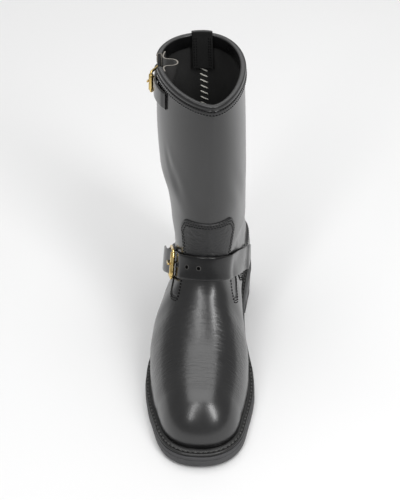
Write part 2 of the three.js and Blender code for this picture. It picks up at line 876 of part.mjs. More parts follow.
// The billet comes from behind, folds round the rear bar and lies back on itself.
function makeBillet(strap) {
  const stack = buckleStack(strap);
  const buckle = buckleFrame(strap);
  const half = strap.width / 2 - 0.5;
  const angles = spread(strap.billetEnd, strap.rear - 6, 5);
  const lower = angles.map((angle) => {
    const lift = stack.low + liftOver(strap, angle);
    const ring = strapRing(strapFrame(strap, angle), lift, strap.billet, half, true);
    return [...ring.slice(3).reverse(), ...ring.slice(0, 3).reverse()];
  });
  const turn = spread(-90, 90, 7).map((degrees) => {
    const out = new THREE.Vector3()
      .addScaledVector(buckle.along, Math.cos(rad(degrees)))
      .addScaledVector(buckle.normal, Math.sin(rad(degrees)));
    const frame = { point: buckle.at(0, stack.bar), normal: out, across: buckle.across };
    return strapRing(frame, stack.wrap, strap.billet, half, false);
  });
  const upper = angles.slice(2).reverse().map((angle, i) => {
    const rest = stack.low + liftOver(strap, angle) + strap.billet + clearance;
    const lift = i === 0 ? stack.bar + stack.wrap * 0.8 : rest;
    return strapRing(strapFrame(strap, angle), lift, strap.billet, half, true);
  });
  const strip = skin([...lower, ...turn, ...upper], false);
  return geometryOf(solidOf(strip).subtract(solidOf(prongTube(strap, clearance))));
}

// A round wire through points; closed for a buckle's frame.
function wire(points, radius, sides, closed) {
  const count = points.length;
  let first = new THREE.Vector3(0, 0, 1);
  const rings = points.map((point, i) => {
    const before = closed ? points[(i + count - 1) % count] : points[Math.max(0, i - 1)];
    const after = closed ? points[(i + 1) % count] : points[Math.min(count - 1, i + 1)];
    const along = after.clone().sub(before).normalize();
    if (i === 0 && Math.abs(along.z) > 0.9) first.set(0, 1, 0);
    first = first.clone().addScaledVector(along, -first.dot(along)).normalize();
    const second = new THREE.Vector3().crossVectors(along, first);
    return Array.from({ length: sides }, (_, k) => {
      const turn = (2 * Math.PI * (k + 0.5)) / sides;
      return point.clone()
        .addScaledVector(first, radius * Math.cos(turn))
        .addScaledVector(second, radius * Math.sin(turn));
    });
  });
  return skin(rings, closed);
}

function makeFrame(strap) {
  const stack = buckleStack(strap);
  const buckle = buckleFrame(strap);
  const half = strap.width / 2 + sideRoom + strap.wire;
  const corner = frameCorner;
  const points = [];
  for (const [atNose, side] of [[0, -1], [1, -1], [1, 1], [0, 1]]) {
    const turns = side * (atNose ? 1 : -1) > 0 ? [0, 45, 90] : [90, 45, 0];
    for (const degrees of turns) {
      const s = atNose * buckle.length;
      const inward = atNose ? -1 : 1;
      const run = s + inward * corner * (1 - Math.cos(rad(degrees)));
      const width = side * (half - corner * (1 - Math.sin(rad(degrees))));
      points.push(buckle.at(run, mix(stack.bar, stack.roller, run / buckle.length), width));
    }
  }
  return wire(points, strap.wire, 8, true);
}

function makeRoller(strap) {
  const stack = buckleStack(strap);
  const buckle = buckleFrame(strap);
  const reach = strap.width / 2 + sideRoom + strap.wire - frameCorner - clearance;
  const circle = (radius, side) =>
    Array.from({ length: 14 }, (_, k) => {
      const turn = (2 * Math.PI * k) / 14;
      const s = buckle.length + radius * Math.cos(turn);
      return buckle.at(s, stack.roller + radius * Math.sin(turn), side);
    });
  const outer = stack.rollerRadius;
  const inner = strap.wire + clearance;
  const ends = [circle(outer, -reach), circle(outer, reach), circle(inner, reach), circle(inner, -reach)];
  return skin(ends, true);
}

function prongTube(strap, extra) {
  const stack = buckleStack(strap);
  const buckle = buckleFrame(strap);
  const hook = strap.wire + clearance + strap.prong;
  const lead = extra > 0 ? [290] : [];
  const points = [...lead, 250, 210, 170, 130, 90].map((degrees) =>
    buckle.at(hook * Math.cos(rad(degrees)), stack.bar + hook * Math.sin(rad(degrees))));
  const tip = stack.roller + stack.rollerRadius + clearance + strap.prong;
  points.push(buckle.at(buckle.length * 0.5, mix(stack.bar + hook, tip, 0.55)));
  points.push(buckle.at(buckle.length, tip));
  points.push(buckle.at(buckle.length + extra + 1.6, tip - 0.4));
  return wire(points, strap.prong + extra, 6, false);
}

const makeProng = (strap) => prongTube(strap, 0);

const strapCentreY = -55;
const strapRun = 57 * Math.tan(rad(instepStrapSlope));
const instepNose = -24;
const topNose = -112;

const instepStrap = {
  centre: new THREE.Vector3(coreX, strapCentreY, instepStrapHeight - strapRun),
  slope: instepStrapSlope,
  width: instepStrapWidth,
  start: 132,
  nose: instepNose,
  rear: instepNose - instepFrameLength * 1.3,
  tail: 24,
  tailSag: 2,
  billetEnd: -146,
  billet: 1.6,
  wire: wireRadius,
  prong: 1.2,
  lead: 7,
  steps: 27,
  overlays: true,
  gap: 1.5,
};

const topStrap = {
  centre: new THREE.Vector3(coreX, -25, topStrapHeight),
  slope: 10,
  width: topStrapWidth,
  start: -50,
  nose: topNose,
  rear: topNose - topFrameLength * 1.05,
  tail: 16,
  tailSag: 1,
  billetEnd: -166,
  billet: 1.6,
  wire: 1.4,
  prong: 1,
  lead: 5,
  steps: 7,
  overlays: false,
  gap: 0.7,
};

const pieces = [];
function addPiece(name, geometry, color, roughness, metalness) {
  const material = new THREE.MeshStandardMaterial({ color, roughness, metalness });
  const mesh = new THREE.Mesh(geometry, material);
  mesh.name = name;
  pieces.push(mesh);
}

const black = 0x17181a;
addPiece("outsole", makeOutsole(), 0x2b2c2e, 0.7, 0);
addPiece("midsole", makeMidsole(), 0x1d1d1f, 0.7, 0);
addPiece("welt", makeWelt(), 0x161617, 0.6, 0);
addPiece("insole", makeInsole(), 0x3a332c, 0.8, 0);
addPiece("heel", makeHeel(), 0x1d1d1f, 0.6, 0);
addPiece("top_lift", makeTopLift(), 0x202122, 0.8, 0);
addPiece("upper", makeUpper(), black, 0.3, 0);
addPiece("collar_band", makeCollarBand(), black, 0.35, 0);
addPiece("counter", makeCounter(), black, 0.3, 0);
addPiece("shin_tab", makeShinTab(), black, 0.4, 0);
addPiece("gusset", makeGusset(), 0x1d1b1a, 0.6, 0);
addPiece("pull_strap", makePullStrap(), 0x131314, 0.5, 0);
for (const [name, strap] of [["instep", instepStrap], ["top", topStrap]]) {
  addPiece(`${name}_strap`, makeStrap(strap), black, 0.35, 0);
  addPiece(`${name}_billet`, makeBillet(strap), black, 0.4, 0);
  addPiece(`${name}_frame`, makeFrame(strap), 0xb98f3e, 0.25, 1);
  addPiece(`${name}_roller`, makeRoller(strap), 0xb98f3e, 0.25, 1);
  addPiece(`${name}_prong`, makeProng(strap), 0xb98f3e, 0.25, 1);
}

const boot = new THREE.Group();
pieces.forEach((mesh) => boot.add(mesh));
export default boot;
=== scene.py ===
import math

import bpy
import numpy as np
from mathutils import Matrix, Vector


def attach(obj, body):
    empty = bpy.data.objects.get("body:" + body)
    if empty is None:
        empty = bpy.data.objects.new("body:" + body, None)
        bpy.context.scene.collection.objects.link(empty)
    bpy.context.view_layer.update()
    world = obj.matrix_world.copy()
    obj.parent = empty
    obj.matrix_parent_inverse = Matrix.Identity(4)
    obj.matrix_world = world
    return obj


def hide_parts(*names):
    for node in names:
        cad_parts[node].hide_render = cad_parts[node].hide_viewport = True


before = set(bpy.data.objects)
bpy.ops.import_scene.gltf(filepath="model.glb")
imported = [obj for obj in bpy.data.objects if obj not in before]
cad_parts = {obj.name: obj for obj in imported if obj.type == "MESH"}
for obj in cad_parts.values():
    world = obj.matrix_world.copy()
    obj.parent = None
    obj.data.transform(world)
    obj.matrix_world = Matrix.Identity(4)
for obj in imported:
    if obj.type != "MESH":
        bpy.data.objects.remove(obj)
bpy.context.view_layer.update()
print("frame loaded:", len(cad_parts), "nodes")

# Sizes are in millimetres here and go to metres when a mesh is made.
last = {
    "length": 302, "behindOrigin": 35, "ballWidth": 110, "toeSpring": 2.6,
    "toeRound": 50, "heelRound": 38, "toePower": 2.25, "heelPower": 2.0,
    "stack": 15.5, "featherGap": 0.45, "weltMargin": 6.2, "toeMargin": 10.5,
    "heelHeight": 31, "collarHeight": 302, "instepHeight": 137,
    "collarDepth": 135, "collarWidth": 86, "wall": 2.4, "ankleBlend": 22,
    "coreX": -4, "topEdge": 300.6, "slitTop": 0.703, "slitWidth": 22, "slitDepth": 60,
}

# Sole outline, half widths as shares of the ball width.
outlineTable = {
    "at": [0, 0.066, 0.126, 0.169, 0.219, 0.265, 0.311, 0.358, 0.411, 0.48, 0.56, 0.66, 0.745,
           0.83, 0.88, 1],
    "outer": [0.4, 0.402, 0.42, 0.451, 0.497, 0.526, 0.55, 0.562, 0.564, 0.535, 0.46, 0.385,
              0.358, 0.355, 0.355, 0.355],
    "inner": [0.4, 0.4, 0.402, 0.412, 0.433, 0.448, 0.455, 0.448, 0.432, 0.388, 0.342, 0.318,
              0.328, 0.345, 0.355, 0.355],
}

# Ridge of the foot: height share, side swell and fullness.
ridgeTable = {
    "at": [0, 0.06, 0.12, 0.2, 0.3, 0.36, 0.42, 0.46, 0.52, 0.6, 1],
    "up": [0.37, 0.395, 0.425, 0.46, 0.526, 0.6, 0.7, 0.775, 0.92, 1.05, 1.1],
    "swell": [0, 0, 0, 0, 0, 0.02, 0.05, 0.08, 0.12, 0.15, 0.12],
    "full": [2.5, 2.5, 2.5, 2.5, 2.45, 2.35, 2.2, 2.05, 1.85, 1.6, 1.5],
}

# Shaft sections from the heel up to the collar.
shaftTable = {
    "up": [0.155, 0.2, 0.265, 0.36, 0.46, 0.57, 0.66, 0.8, 1],
    "front": [-0.42, -0.5, -0.6, -0.72, -0.772, -0.765, -0.748, -0.722, -0.68],
    "back": [0.222, 0.24, 0.228, 0.2, 0.205, 0.228, 0.25, 0.28, 0.318],
    "widest": [-0.02, -0.06, -0.12, -0.2, -0.26, -0.25, -0.22, -0.16, -0.09],
    "outer": [0.385, 0.405, 0.39, 0.4, 0.45, 0.5, 0.58, 0.6, 0.572],
    "inner": [0.385, 0.39, 0.335, 0.335, 0.41, 0.425, 0.43, 0.428, 0.415],
    "twist": [0, 0, 0, 0, 0.02, 0.05, 0.08, 0.11, 0.13],
    "power": [2, 2, 2, 1.95, 1.9, 1.9, 1.84, 1.78, 1.7],
}

# The line inside the boot that its surface is found from.
coreTable = {
    "along": [0, 0.15, 0.35, 0.5, 0.62, 0.8, 1],
    "back": [0.18, 0.3, 0.47, 0.62, 0.745, 0.77, 0.8],
    "up": [0.13, 0.14, 0.215, 0.33, 0.47, 0.7, 1],
}

toeY = last["behindOrigin"] - last["length"]


def ease(low, high, value):
    share = np.clip((np.asarray(value, float) - low) / (high - low), 0, 1)
    return share * share * (3 - 2 * share)


def mix(a, b, share):
    return a + (b - a) * share


# A smooth curve through one column of a table.
def column(table, key, at="at"):
    x = np.array(table[at], float)
    y = np.array(table[key], float)
    step = np.diff(y) / np.diff(x)
    slope = np.concatenate([step[:1], np.zeros(len(x) - 2), step[-1:]])
    before, after = step[:-1], step[1:]
    same = before * after > 0
    slope[1:-1] = np.where(same, 2 * before * after / np.where(same, before + after, 1), 0)

    def curve(value):
        place = np.clip(value, x[0], x[-1])
        i = np.clip(np.searchsorted(x, place, side="right") - 1, 0, len(x) - 2)
        gap = x[i + 1] - x[i]
        t = (place - x[i]) / gap
        u = 1 - t
        ends = y[i] * u * u * (1 + 2 * t) + y[i + 1] * t * t * (3 - 2 * t)
        return ends + gap * (slope[i] * t * u * u - slope[i + 1] * t * t * u)

    return curve


outerHalf = column(outlineTable, "outer")
innerHalf = column(outlineTable, "inner")
ridgeUp = column(ridgeTable, "up")
ridgeSwell = column(ridgeTable, "swell")
ridgeFull = column(ridgeTable, "full")
shaft = {key: column(shaftTable, key, "up") for key in shaftTable if key != "up"}
coreBack = column(coreTable, "back", "along")
coreUp = column(coreTable, "up", "along")
coreAlong = column(coreTable, "along", "back")


def treadHeight(y):
    back = y - toeY
    springLength = last["length"] * 0.22
    spring = np.clip((springLength - back) / springLength, 0, 1)
    arch = ease(last["length"] * 0.38, last["length"] * 0.75 + 6, back)
    return last["toeSpring"] * spring ** 1.8 + last["heelHeight"] * arch


def feather(y):
    return treadHeight(y) + last["stack"] + last["featherGap"]


def toeInset(inset):
    return inset * last["toeMargin"] / last["weltMargin"]


def outlineX(side, y, inset):
    back = y - toeY
    half = np.where(side < 0, outerHalf(back / last["length"]), innerHalf(back / last["length"]))
    toeLength = last["toeRound"] - toeInset(inset)
    front = np.clip((last["toeRound"] - back) / toeLength, 0, 1)
    heelLength = last["heelRound"] - inset
    heel = np.clip((back - last["length"] + last["heelRound"]) / heelLength, 0, 1)
    toe = (1 - front ** last["toePower"]) ** (1 / last["toePower"])
    rounding = toe * (1 - heel ** last["heelPower"]) ** (1 / last["heelPower"])
    return side * (half * last["ballWidth"] - inset) * rounding


# The sole's outline moved inwards: share 0 is the toe, 0.25 the inner side, 0.5 the heel.
def outlineLoop(inset, fine=900):
    turn = 0.5 - 0.5 * np.cos(np.pi * np.arange(fine) / fine)
    start, end = toeY + toeInset(inset), last["behindOrigin"] - inset
    inner = np.stack([outlineX(1, mix(start, end, turn), inset), mix(start, end, turn)], 1)
    outer = np.stack([outlineX(-1, mix(end, start, turn), inset), mix(end, start, turn)], 1)
    points = np.vstack([inner, outer, inner[:1]])
    lengths = np.concatenate([[0], np.cumsum(np.linalg.norm(np.diff(points, axis=0), axis=1))])
    half, whole = lengths[fine], lengths[-1]

    def at(share):
        turned = np.mod(share, 1)
        goal = np.where(turned < 0.5, turned * 2 * half, half + (turned - 0.5) * 2 * (whole - half))
        return np.stack([np.interp(goal, lengths, points[:, k]) for k in (0, 1)], -1)

    return at


def footField(p):
    x, y, z = p[..., 0], p[..., 1], p[..., 2]
    back = y - toeY
    low = feather(y)
    share = back / last["length"]
    rise = np.maximum(0, (z - low) / (ridgeUp(share) * last["instepHeight"] - low))
    edge = np.where(x < 0, outerHalf(share), innerHalf(share)) * last["ballWidth"]
    edge = edge - last["weltMargin"]
    swell = ease(0, 0.25, rise) * (1 - ease(0.35, 0.8, rise))
    half = edge * (1 + ridgeSwell(share) * swell)
    power = last["toePower"]
    front = np.maximum(0, (last["toeRound"] - back) / (last["toeRound"] - last["toeMargin"]))
    heelLength = last["heelRound"] - last["weltMargin"]
    heel = np.maximum(0, (back - last["length"] + last["heelRound"]) / heelLength)
    side = (np.abs(x) / half) ** power + front ** power + heel ** power
    whole = (side ** (ridgeFull(share) / power) + rise ** 2.1) ** (1 / 2.3)
    return (whole - 1) * last["instepHeight"] * 0.3


def shaftField(p):
    x, y, z = p[..., 0], p[..., 1], p[..., 2]
    up = z / last["collarHeight"]
    widest = shaft["widest"](up) * last["collarDepth"]
    along = y - widest
    across = x + shaft["twist"](up) * along
    half = np.where(across < 0, shaft["outer"](up), shaft["inner"](up)) * last["collarWidth"]
    end = np.where(along < 0, shaft["front"](up), shaft["back"](up)) * last["collarDepth"]
    power = np.where(along < 0, shaft["power"](up), 2.1)
    reach = np.abs(end - widest)
    whole = (np.abs(across) / half) ** power + (np.abs(along) / reach) ** power
    return (whole ** (1 / power) - 1) * last["collarWidth"] * 0.45


def field(p):
    a, b = footField(p), shaftField(p)
    low = feather(p[..., 1])
    blend = mix(2, last["ankleBlend"], ease(0, 52, p[..., 2] - low - 8))
    near = np.maximum(0, blend - np.abs(a - b)) / blend
    return np.minimum(a, b) - near * near * blend / 4


def unit(v):
    return v / np.maximum(np.linalg.norm(v, axis=-1, keepdims=True), 1e-9)


def slopeOf(p, h=0.6):
    parts = []
    for k in range(3):
        step = np.zeros(3)
        step[k] = h
        parts.append((field(p + step) - field(p - step)) / (2 * h))
    return np.stack(parts, -1)


def outward(p):
    return unit(slopeOf(p))


# First place along each ray where the field turns positive.
def hit(start, direction, reach=190.0):
    start, direction = np.broadcast_arrays(start, direction)
    near = np.zeros(start.shape[:-1])
    far = np.full(start.shape[:-1], reach)
    found = np.zeros(start.shape[:-1], bool)
    for step in range(1, 41):
        distance = reach * step / 40
        out = field(start + direction * distance) > 0
        far = np.where(out & ~found, distance, far)
        found |= out
        near = np.where(found, near, distance)
    for _ in range(26):
        middle = (near + far) / 2
        out = field(start + direction * middle[..., None]) > 0
        far = np.where(out, middle, far)
        near = np.where(out, near, middle)
    return start + direction * near[..., None]


def corePoint(along):
    y = toeY + coreBack(along) * last["length"]
    return np.stack([np.full_like(y, last["coreX"]), y, coreUp(along) * last["collarHeight"]], -1)


def coreNormal(along):
    tangent = corePoint(np.minimum(1, along + 0.02)) - corePoint(np.maximum(0, along - 0.02))
    normal = unit(np.stack([0 * along, -tangent[..., 2], tangent[..., 1]], -1))
    level = ease(0.55, 0.9, along)[..., None]
    return unit(mix(normal, np.array([0.0, -1, 0]), level))


# Lines of the outer surface from the feather edge up to the collar, one for each share.
def meridians(shares, steps=150):
    edge = outlineLoop(last["weltMargin"])(shares)
    start = np.stack([edge[:, 0], edge[:, 1], feather(edge[:, 1])], -1)
    fromToe = edge[:, 1] - toeY
    back = np.clip(fromToe, last["toeRound"] + 4, last["length"] - last["heelRound"])
    base = np.stack([np.full_like(back, last["coreX"]), toeY + back, start[:, 2]], -1)
    first = coreAlong(np.clip(fromToe / last["length"], coreTable["back"][0], 0.62))
    v = np.arange(1, steps + 1)[None, :] / steps
    along = mix(first[:, None], 1, v ** 1.25)
    origin = mix(base[:, None], corePoint(along), ease(0, 0.3, v)[..., None])
    origin[:, -1, 2] = last["topEdge"]
    angle = 2 * np.pi * shares[:, None]
    forward = np.cos(angle)
    lead = np.where((forward > 0)[..., None], coreNormal(along), np.array([0.0, -1, 0]))
    aim = lead * forward[..., None]
    aim[..., 0] += np.sin(angle)
    flat = unit(start - base)[:, None]
    direction = unit(mix(flat, unit(aim), ease(0, 0.26, v)[..., None]))
    direction[:, -1, 2] = 0
    points = np.concatenate([start[:, None], hit(origin, unit(direction))], 1)
    gaps = np.linalg.norm(np.diff(points, axis=1), axis=2)
    lengths = np.concatenate([np.zeros((len(shares), 1)), np.cumsum(gaps, 1)], 1)
    return points, lengths


lineCount = 720
linePoints, lineLengths = meridians(np.arange(lineCount) / lineCount)
lineTotals = lineLengths[:, -1]
print("surface lines:", lineCount)


def lengthAt(share):
    place = np.mod(share, 1) * lineCount
    i = place.astype(int) % lineCount
    return mix(lineTotals[i], lineTotals[(i + 1) % lineCount], place - np.floor(place))


# Soft troughs and ridges pressed into the leather: where, which way, how long, wide and deep.
creases = [
    {"at": (-6, -150, 74), "along": (1, 0.06, 0.02), "reach": 34, "width": 4.5, "deep": 0.22},
    {"at": (2, -160, 70), "along": (1, -0.1, 0), "reach": 30, "width": 4, "deep": 0.2},
    {"at": (-8, -171, 66), "along": (1, 0.1, 0), "reach": 30, "width": 4, "deep": 0.18},
    {"at": (4, -181, 63), "along": (1, -0.04, 0), "reach": 32, "width": 4.5, "deep": 0.18},
    {"at": (-2, -192, 61), "along": (1, 0.08, 0), "reach": 28, "width": 5, "deep": 0.15},
    {"at": (26, -92, 100), "along": (0.3, 0.85, -0.5), "reach": 26, "width": 5, "deep": 0.8},
    {"at": (-28, -88, 96), "along": (-0.3, 0.85, -0.5), "reach": 26, "width": 5, "deep": 0.8},
    {"at": (33, -50, 122), "along": (0.1, 0.95, -0.25), "reach": 24, "width": 7, "deep": 0.8},
    {"at": (-34, -48, 128), "along": (-0.1, 0.95, -0.2), "reach": 22, "width": 7, "deep": 0.8},
    {"at": (0, 26, 120), "along": (1, 0.1, 0.1), "reach": 26, "width": 7, "deep": 0.9},
    {"at": (-30, -80, 206), "along": (0.45, -0.3, -0.8), "reach": 34, "width": 6, "deep": 0.5},
    {"at": (-38, -66, 222), "along": (0.4, -0.3, -0.85), "reach": 26, "width": 5, "deep": 0.4},
    {"at": (30, -70, 190), "along": (-0.2, -0.4, 0.9), "reach": 40, "width": 8, "deep": 0.5},
    {"at": (-6, -104, 190), "along": (0.1, 0, 1), "reach": 30, "width": 12, "deep": 0.4},
]


def relief(p):
    total = np.zeros(p.shape[:-1])
    for crease in creases:
        along = unit(np.array(crease["along"], float))
        away = p - np.array(crease["at"], float)
        run = away @ along
        rest = away - run[..., None] * along
        across = np.linalg.norm(rest, axis=-1)
        fade = np.exp(-(run / crease["reach"]) ** 2 * 2)
        trough = np.exp(-(across / crease["width"]) ** 2)
        lip = np.exp(-((across - crease["width"] * 1.6) / crease["width"]) ** 2)
        total += crease["deep"] * fade * (0.45 * lip - trough)
    slack = np.sin(p[..., 2] * 0.045 + p[..., 0] * 0.03) * np.sin(p[..., 1] * 0.05 + 1.3)
    return total + 0.25 * slack * ease(60, 150, p[..., 2])


# Places on the surface: round the boot by share, up it by millimetres, out by an offset.
def raised(share, up, offset=0.0, soft=True):
    share, up, offset = np.broadcast_arrays(
        np.asarray(share, float), np.asarray(up, float), np.asarray(offset, float))
    place = np.mod(share, 1) * lineCount
    low = np.floor(place).astype(int) % lineCount
    part = (place - np.floor(place))[..., None]
    total = lengthAt(share)
    rise = np.clip(up / total, 0, 1)

    def onLine(i):
        goal = rise * lineTotals[i]
        flat, where = i.ravel(), goal.ravel()
        rows = lineLengths[flat]
        k = np.clip((rows < where[:, None]).sum(1), 1, rows.shape[1] - 1)
        n = np.arange(len(flat))
        portion = (where - rows[n, k - 1]) / (rows[n, k] - rows[n, k - 1])
        points = mix(linePoints[flat, k - 1], linePoints[flat, k], portion[:, None])
        return points.reshape(i.shape + (3,))

    p = mix(onLine(low), onLine((low + 1) % lineCount), part)
    inside = (rise > 0.001) & (rise < 0.999)
    slope = slopeOf(p)
    size = np.maximum((slope ** 2).sum(-1), 1e-6)
    p = p - np.where(inside, field(p) / size, 0)[..., None] * slope
    normal = slope.copy()
    normal[..., 2] = np.where(inside, slope[..., 2], 0)
    normal = unit(normal)
    if soft:
        offset = offset + relief(p) * ease(2, 20, up) * ease(2, 30, total - up)
    p = p + normal * offset[..., None]
    p[..., 2] += np.maximum(0, up - total)
    return p


# How far up a line of the surface a height is reached, above the vamp.
def upAt(share, height):
    share, height = np.broadcast_arrays(np.asarray(share, float), np.asarray(height, float))
    place = np.mod(share, 1) * lineCount
    i = np.round(place).astype(int) % lineCount
    out = np.empty(share.shape)
    for n in np.ndindex(share.shape):
        z = linePoints[i[n], :, 2]
        k = len(z) - 1
        while k > 1 and z[k - 1] > height[n]:
            k -= 1
        part = np.clip((height[n] - z[k - 1]) / (z[k] - z[k - 1]), 0, 1)
        out[n] = mix(lineLengths[i[n], k - 1], lineLengths[i[n], k], part)
    return out


# Mesh helpers
def bandFaces(count, size, closed):
    i = np.arange(count if closed else count - 1)[:, None]
    j = np.arange(size)[None, :]
    here, there = i * size, ((i + 1) % count) * size
    k = (j + 1) % size
    return np.stack([here + j, there + j, there + k, here + k], -1).reshape(-1, 4)


def endFaces(base, size, turned):
    j = np.arange(size // 2 - 1)
    faces = np.stack([base + j, base + j + 1, base + size - 2 - j, base + size - 1 - j], -1)
    return faces[:, ::-1] if turned else faces


def gridFaces(count, size):
    i = np.arange(count - 1)[:, None] * size
    j = np.arange(size - 1)[None, :]
    return np.stack([i + j, i + size + j, i + size + j + 1, i + j + 1], -1).reshape(-1, 4)


def meshPiece(name, points, faces, material, slot, replaces=(), sharp=50, smooth=True):
    mesh = bpy.data.meshes.new(name)
    mesh.from_pydata((np.asarray(points, float) / 1000).tolist(), [], np.asarray(faces).tolist())
    mesh.update()
    piece = bpy.data.objects.new(name, mesh)
    bpy.context.scene.collection.objects.link(piece)
    if smooth:
        mesh.shade_smooth()
        mesh.set_sharp_from_angle(angle=math.radians(sharp))
    mesh.materials.append(material)
    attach(piece, "root")
    if replaces:
        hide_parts(*replaces)
    return piece


# Gives some faces of a piece a second finish.
def paintFaces(piece, material, chosen):
    piece.data.materials.append(material)
    slots = np.zeros(len(piece.data.polygons), np.int32)
    slots[:len(chosen)] = chosen
    piece.data.polygons.foreach_set("material_index", slots)


def turnedOut(points, faces):
    a, b, c, d = (points[faces[:, k]] for k in range(4))
    volume = np.einsum("ij,ij->", a, np.cross(b, c)) + np.einsum("ij,ij->", a, np.cross(c, d))
    return faces[:, ::-1] if volume < 0 else faces


# Rings of points joined into one closed body.
def ringBody(rings, closed=False, capped=True):
    count, size = rings.shape[:2]
    faces = [bandFaces(count, size, closed)]
    if not closed and capped:
        faces += [endFaces(0, size, False), endFaces((count - 1) * size, size, True)]
    points = rings.reshape(-1, 3)
    return points, turnedOut(points, np.vstack(faces))


def joined(bodies):
    points, faces, start = [], [], 0
    for p, f in bodies:
        points.append(p)
        faces.append(f + start)
        start += len(p)
    return np.vstack(points), np.vstack(faces)


# A step from 0 to 1 with more places near both ends.
def edgeSteps(count, edges):
    middle = np.linspace(edges[-1], 1 - edges[-1], count)
    return np.concatenate([[0], edges[:-1], middle, 1 - np.array(edges[:-1])[::-1], [1]])


# A sheet of leather on the surface with rounded edges that sink into what lies below.
def leatherPanel(share, up, low, thick, rounding=0.9, sink=0.5):
    flat = raised(share, up, 0.0, soft=False)
    down = np.linalg.norm(np.diff(flat, axis=0), axis=2)
    over = np.linalg.norm(np.diff(flat, axis=1), axis=2)
    fromStart = np.vstack([np.zeros((1, flat.shape[1])), np.cumsum(down, 0)])
    fromSide = np.hstack([np.zeros((flat.shape[0], 1)), np.cumsum(over, 1)])
    edge = np.minimum(np.minimum(fromStart, fromStart[-1] - fromStart),
                      np.minimum(fromSide, fromSide[:, -1:] - fromSide))
    t = np.clip(edge / rounding, 0, 1)
    rise = np.sqrt(np.maximum(0, 1 - (1 - t) ** 2))
    offset = low + thick * rise - sink * (edge < 1e-6)
    points = raised(share, up, offset)
    return points.reshape(-1, 3), gridFaces(*share.shape), edge


# Short threads laid along a path, each sunk a little at both ends.
def threadRow(path, normals, pitch, length, radius, lean=0.0):
    steps = np.concatenate([[0], np.cumsum(np.linalg.norm(np.diff(path, axis=0), axis=1))])
    count = max(1, int(steps[-1] / pitch))
    bodies = []
    for centre in (np.arange(count) + 0.5) * steps[-1] / count:
        ends = centre + np.linspace(-0.5, 0.5, 5) * length
        spine = np.stack([np.interp(ends, steps, path[:, k]) for k in range(3)], -1)
        normal = unit(np.array([np.interp(centre, steps, normals[:, k]) for k in range(3)]))
        along = unit(spine[-1] - spine[0])
        side = unit(np.cross(normal, along))
        spine = spine + side * (np.linspace(-0.5, 0.5, 5) * lean * length)[:, None]
        dip = np.array([-0.9, 0.1, 0.45, 0.1, -0.9]) * radius
        wide = np.array([0.45, 0.95, 1, 0.95, 0.45]) * radius
        turn = 2 * np.pi * np.arange(6) / 6
        ring = (side[None, None] * np.cos(turn)[None, :, None]
                + normal[None, None] * np.sin(turn)[None, :, None] * 0.8) * wide[:, None, None]
        bodies.append(ringBody(spine[:, None] + normal * dip[:, None, None] + ring))
    return joined(bodies)


def surfaceRow(share, up, offset, pitch, length, radius, lean=0.0):
    path = raised(share, up, offset)
    return threadRow(path, outward(path), pitch, length, radius, lean)


# Shader helper: a socket with arithmetic.
class Wire:
    def __init__(self, nodes, socket):
        self.nodes, self.socket = nodes, socket

    def math(self, operation, *others):
        return self.nodes.add("ShaderNodeMath", {"operation": operation}, [self, *others])

    def __add__(self, other):
        return self.math("ADD", other)

    def __radd__(self, other):
        return self.math("ADD", other)

    def __sub__(self, other):
        return self.math("SUBTRACT", other)

    def __rsub__(self, other):
        return self.nodes.add("ShaderNodeMath", {"operation": "SUBTRACT"}, [other, self])

    def __mul__(self, other):
        return self.math("MULTIPLY", other)

    def __rmul__(self, other):
        return self.math("MULTIPLY", other)

    def __truediv__(self, other):
        return self.math("DIVIDE", other)

    def __pow__(self, other):
        return self.math("POWER", other)

    def clamped(self, low=0.0, high=1.0):
        settings = {"interpolation_type": "SMOOTHSTEP"}
        return self.nodes.add("ShaderNodeMapRange", settings, {"Value": self, 1: low, 2: high})


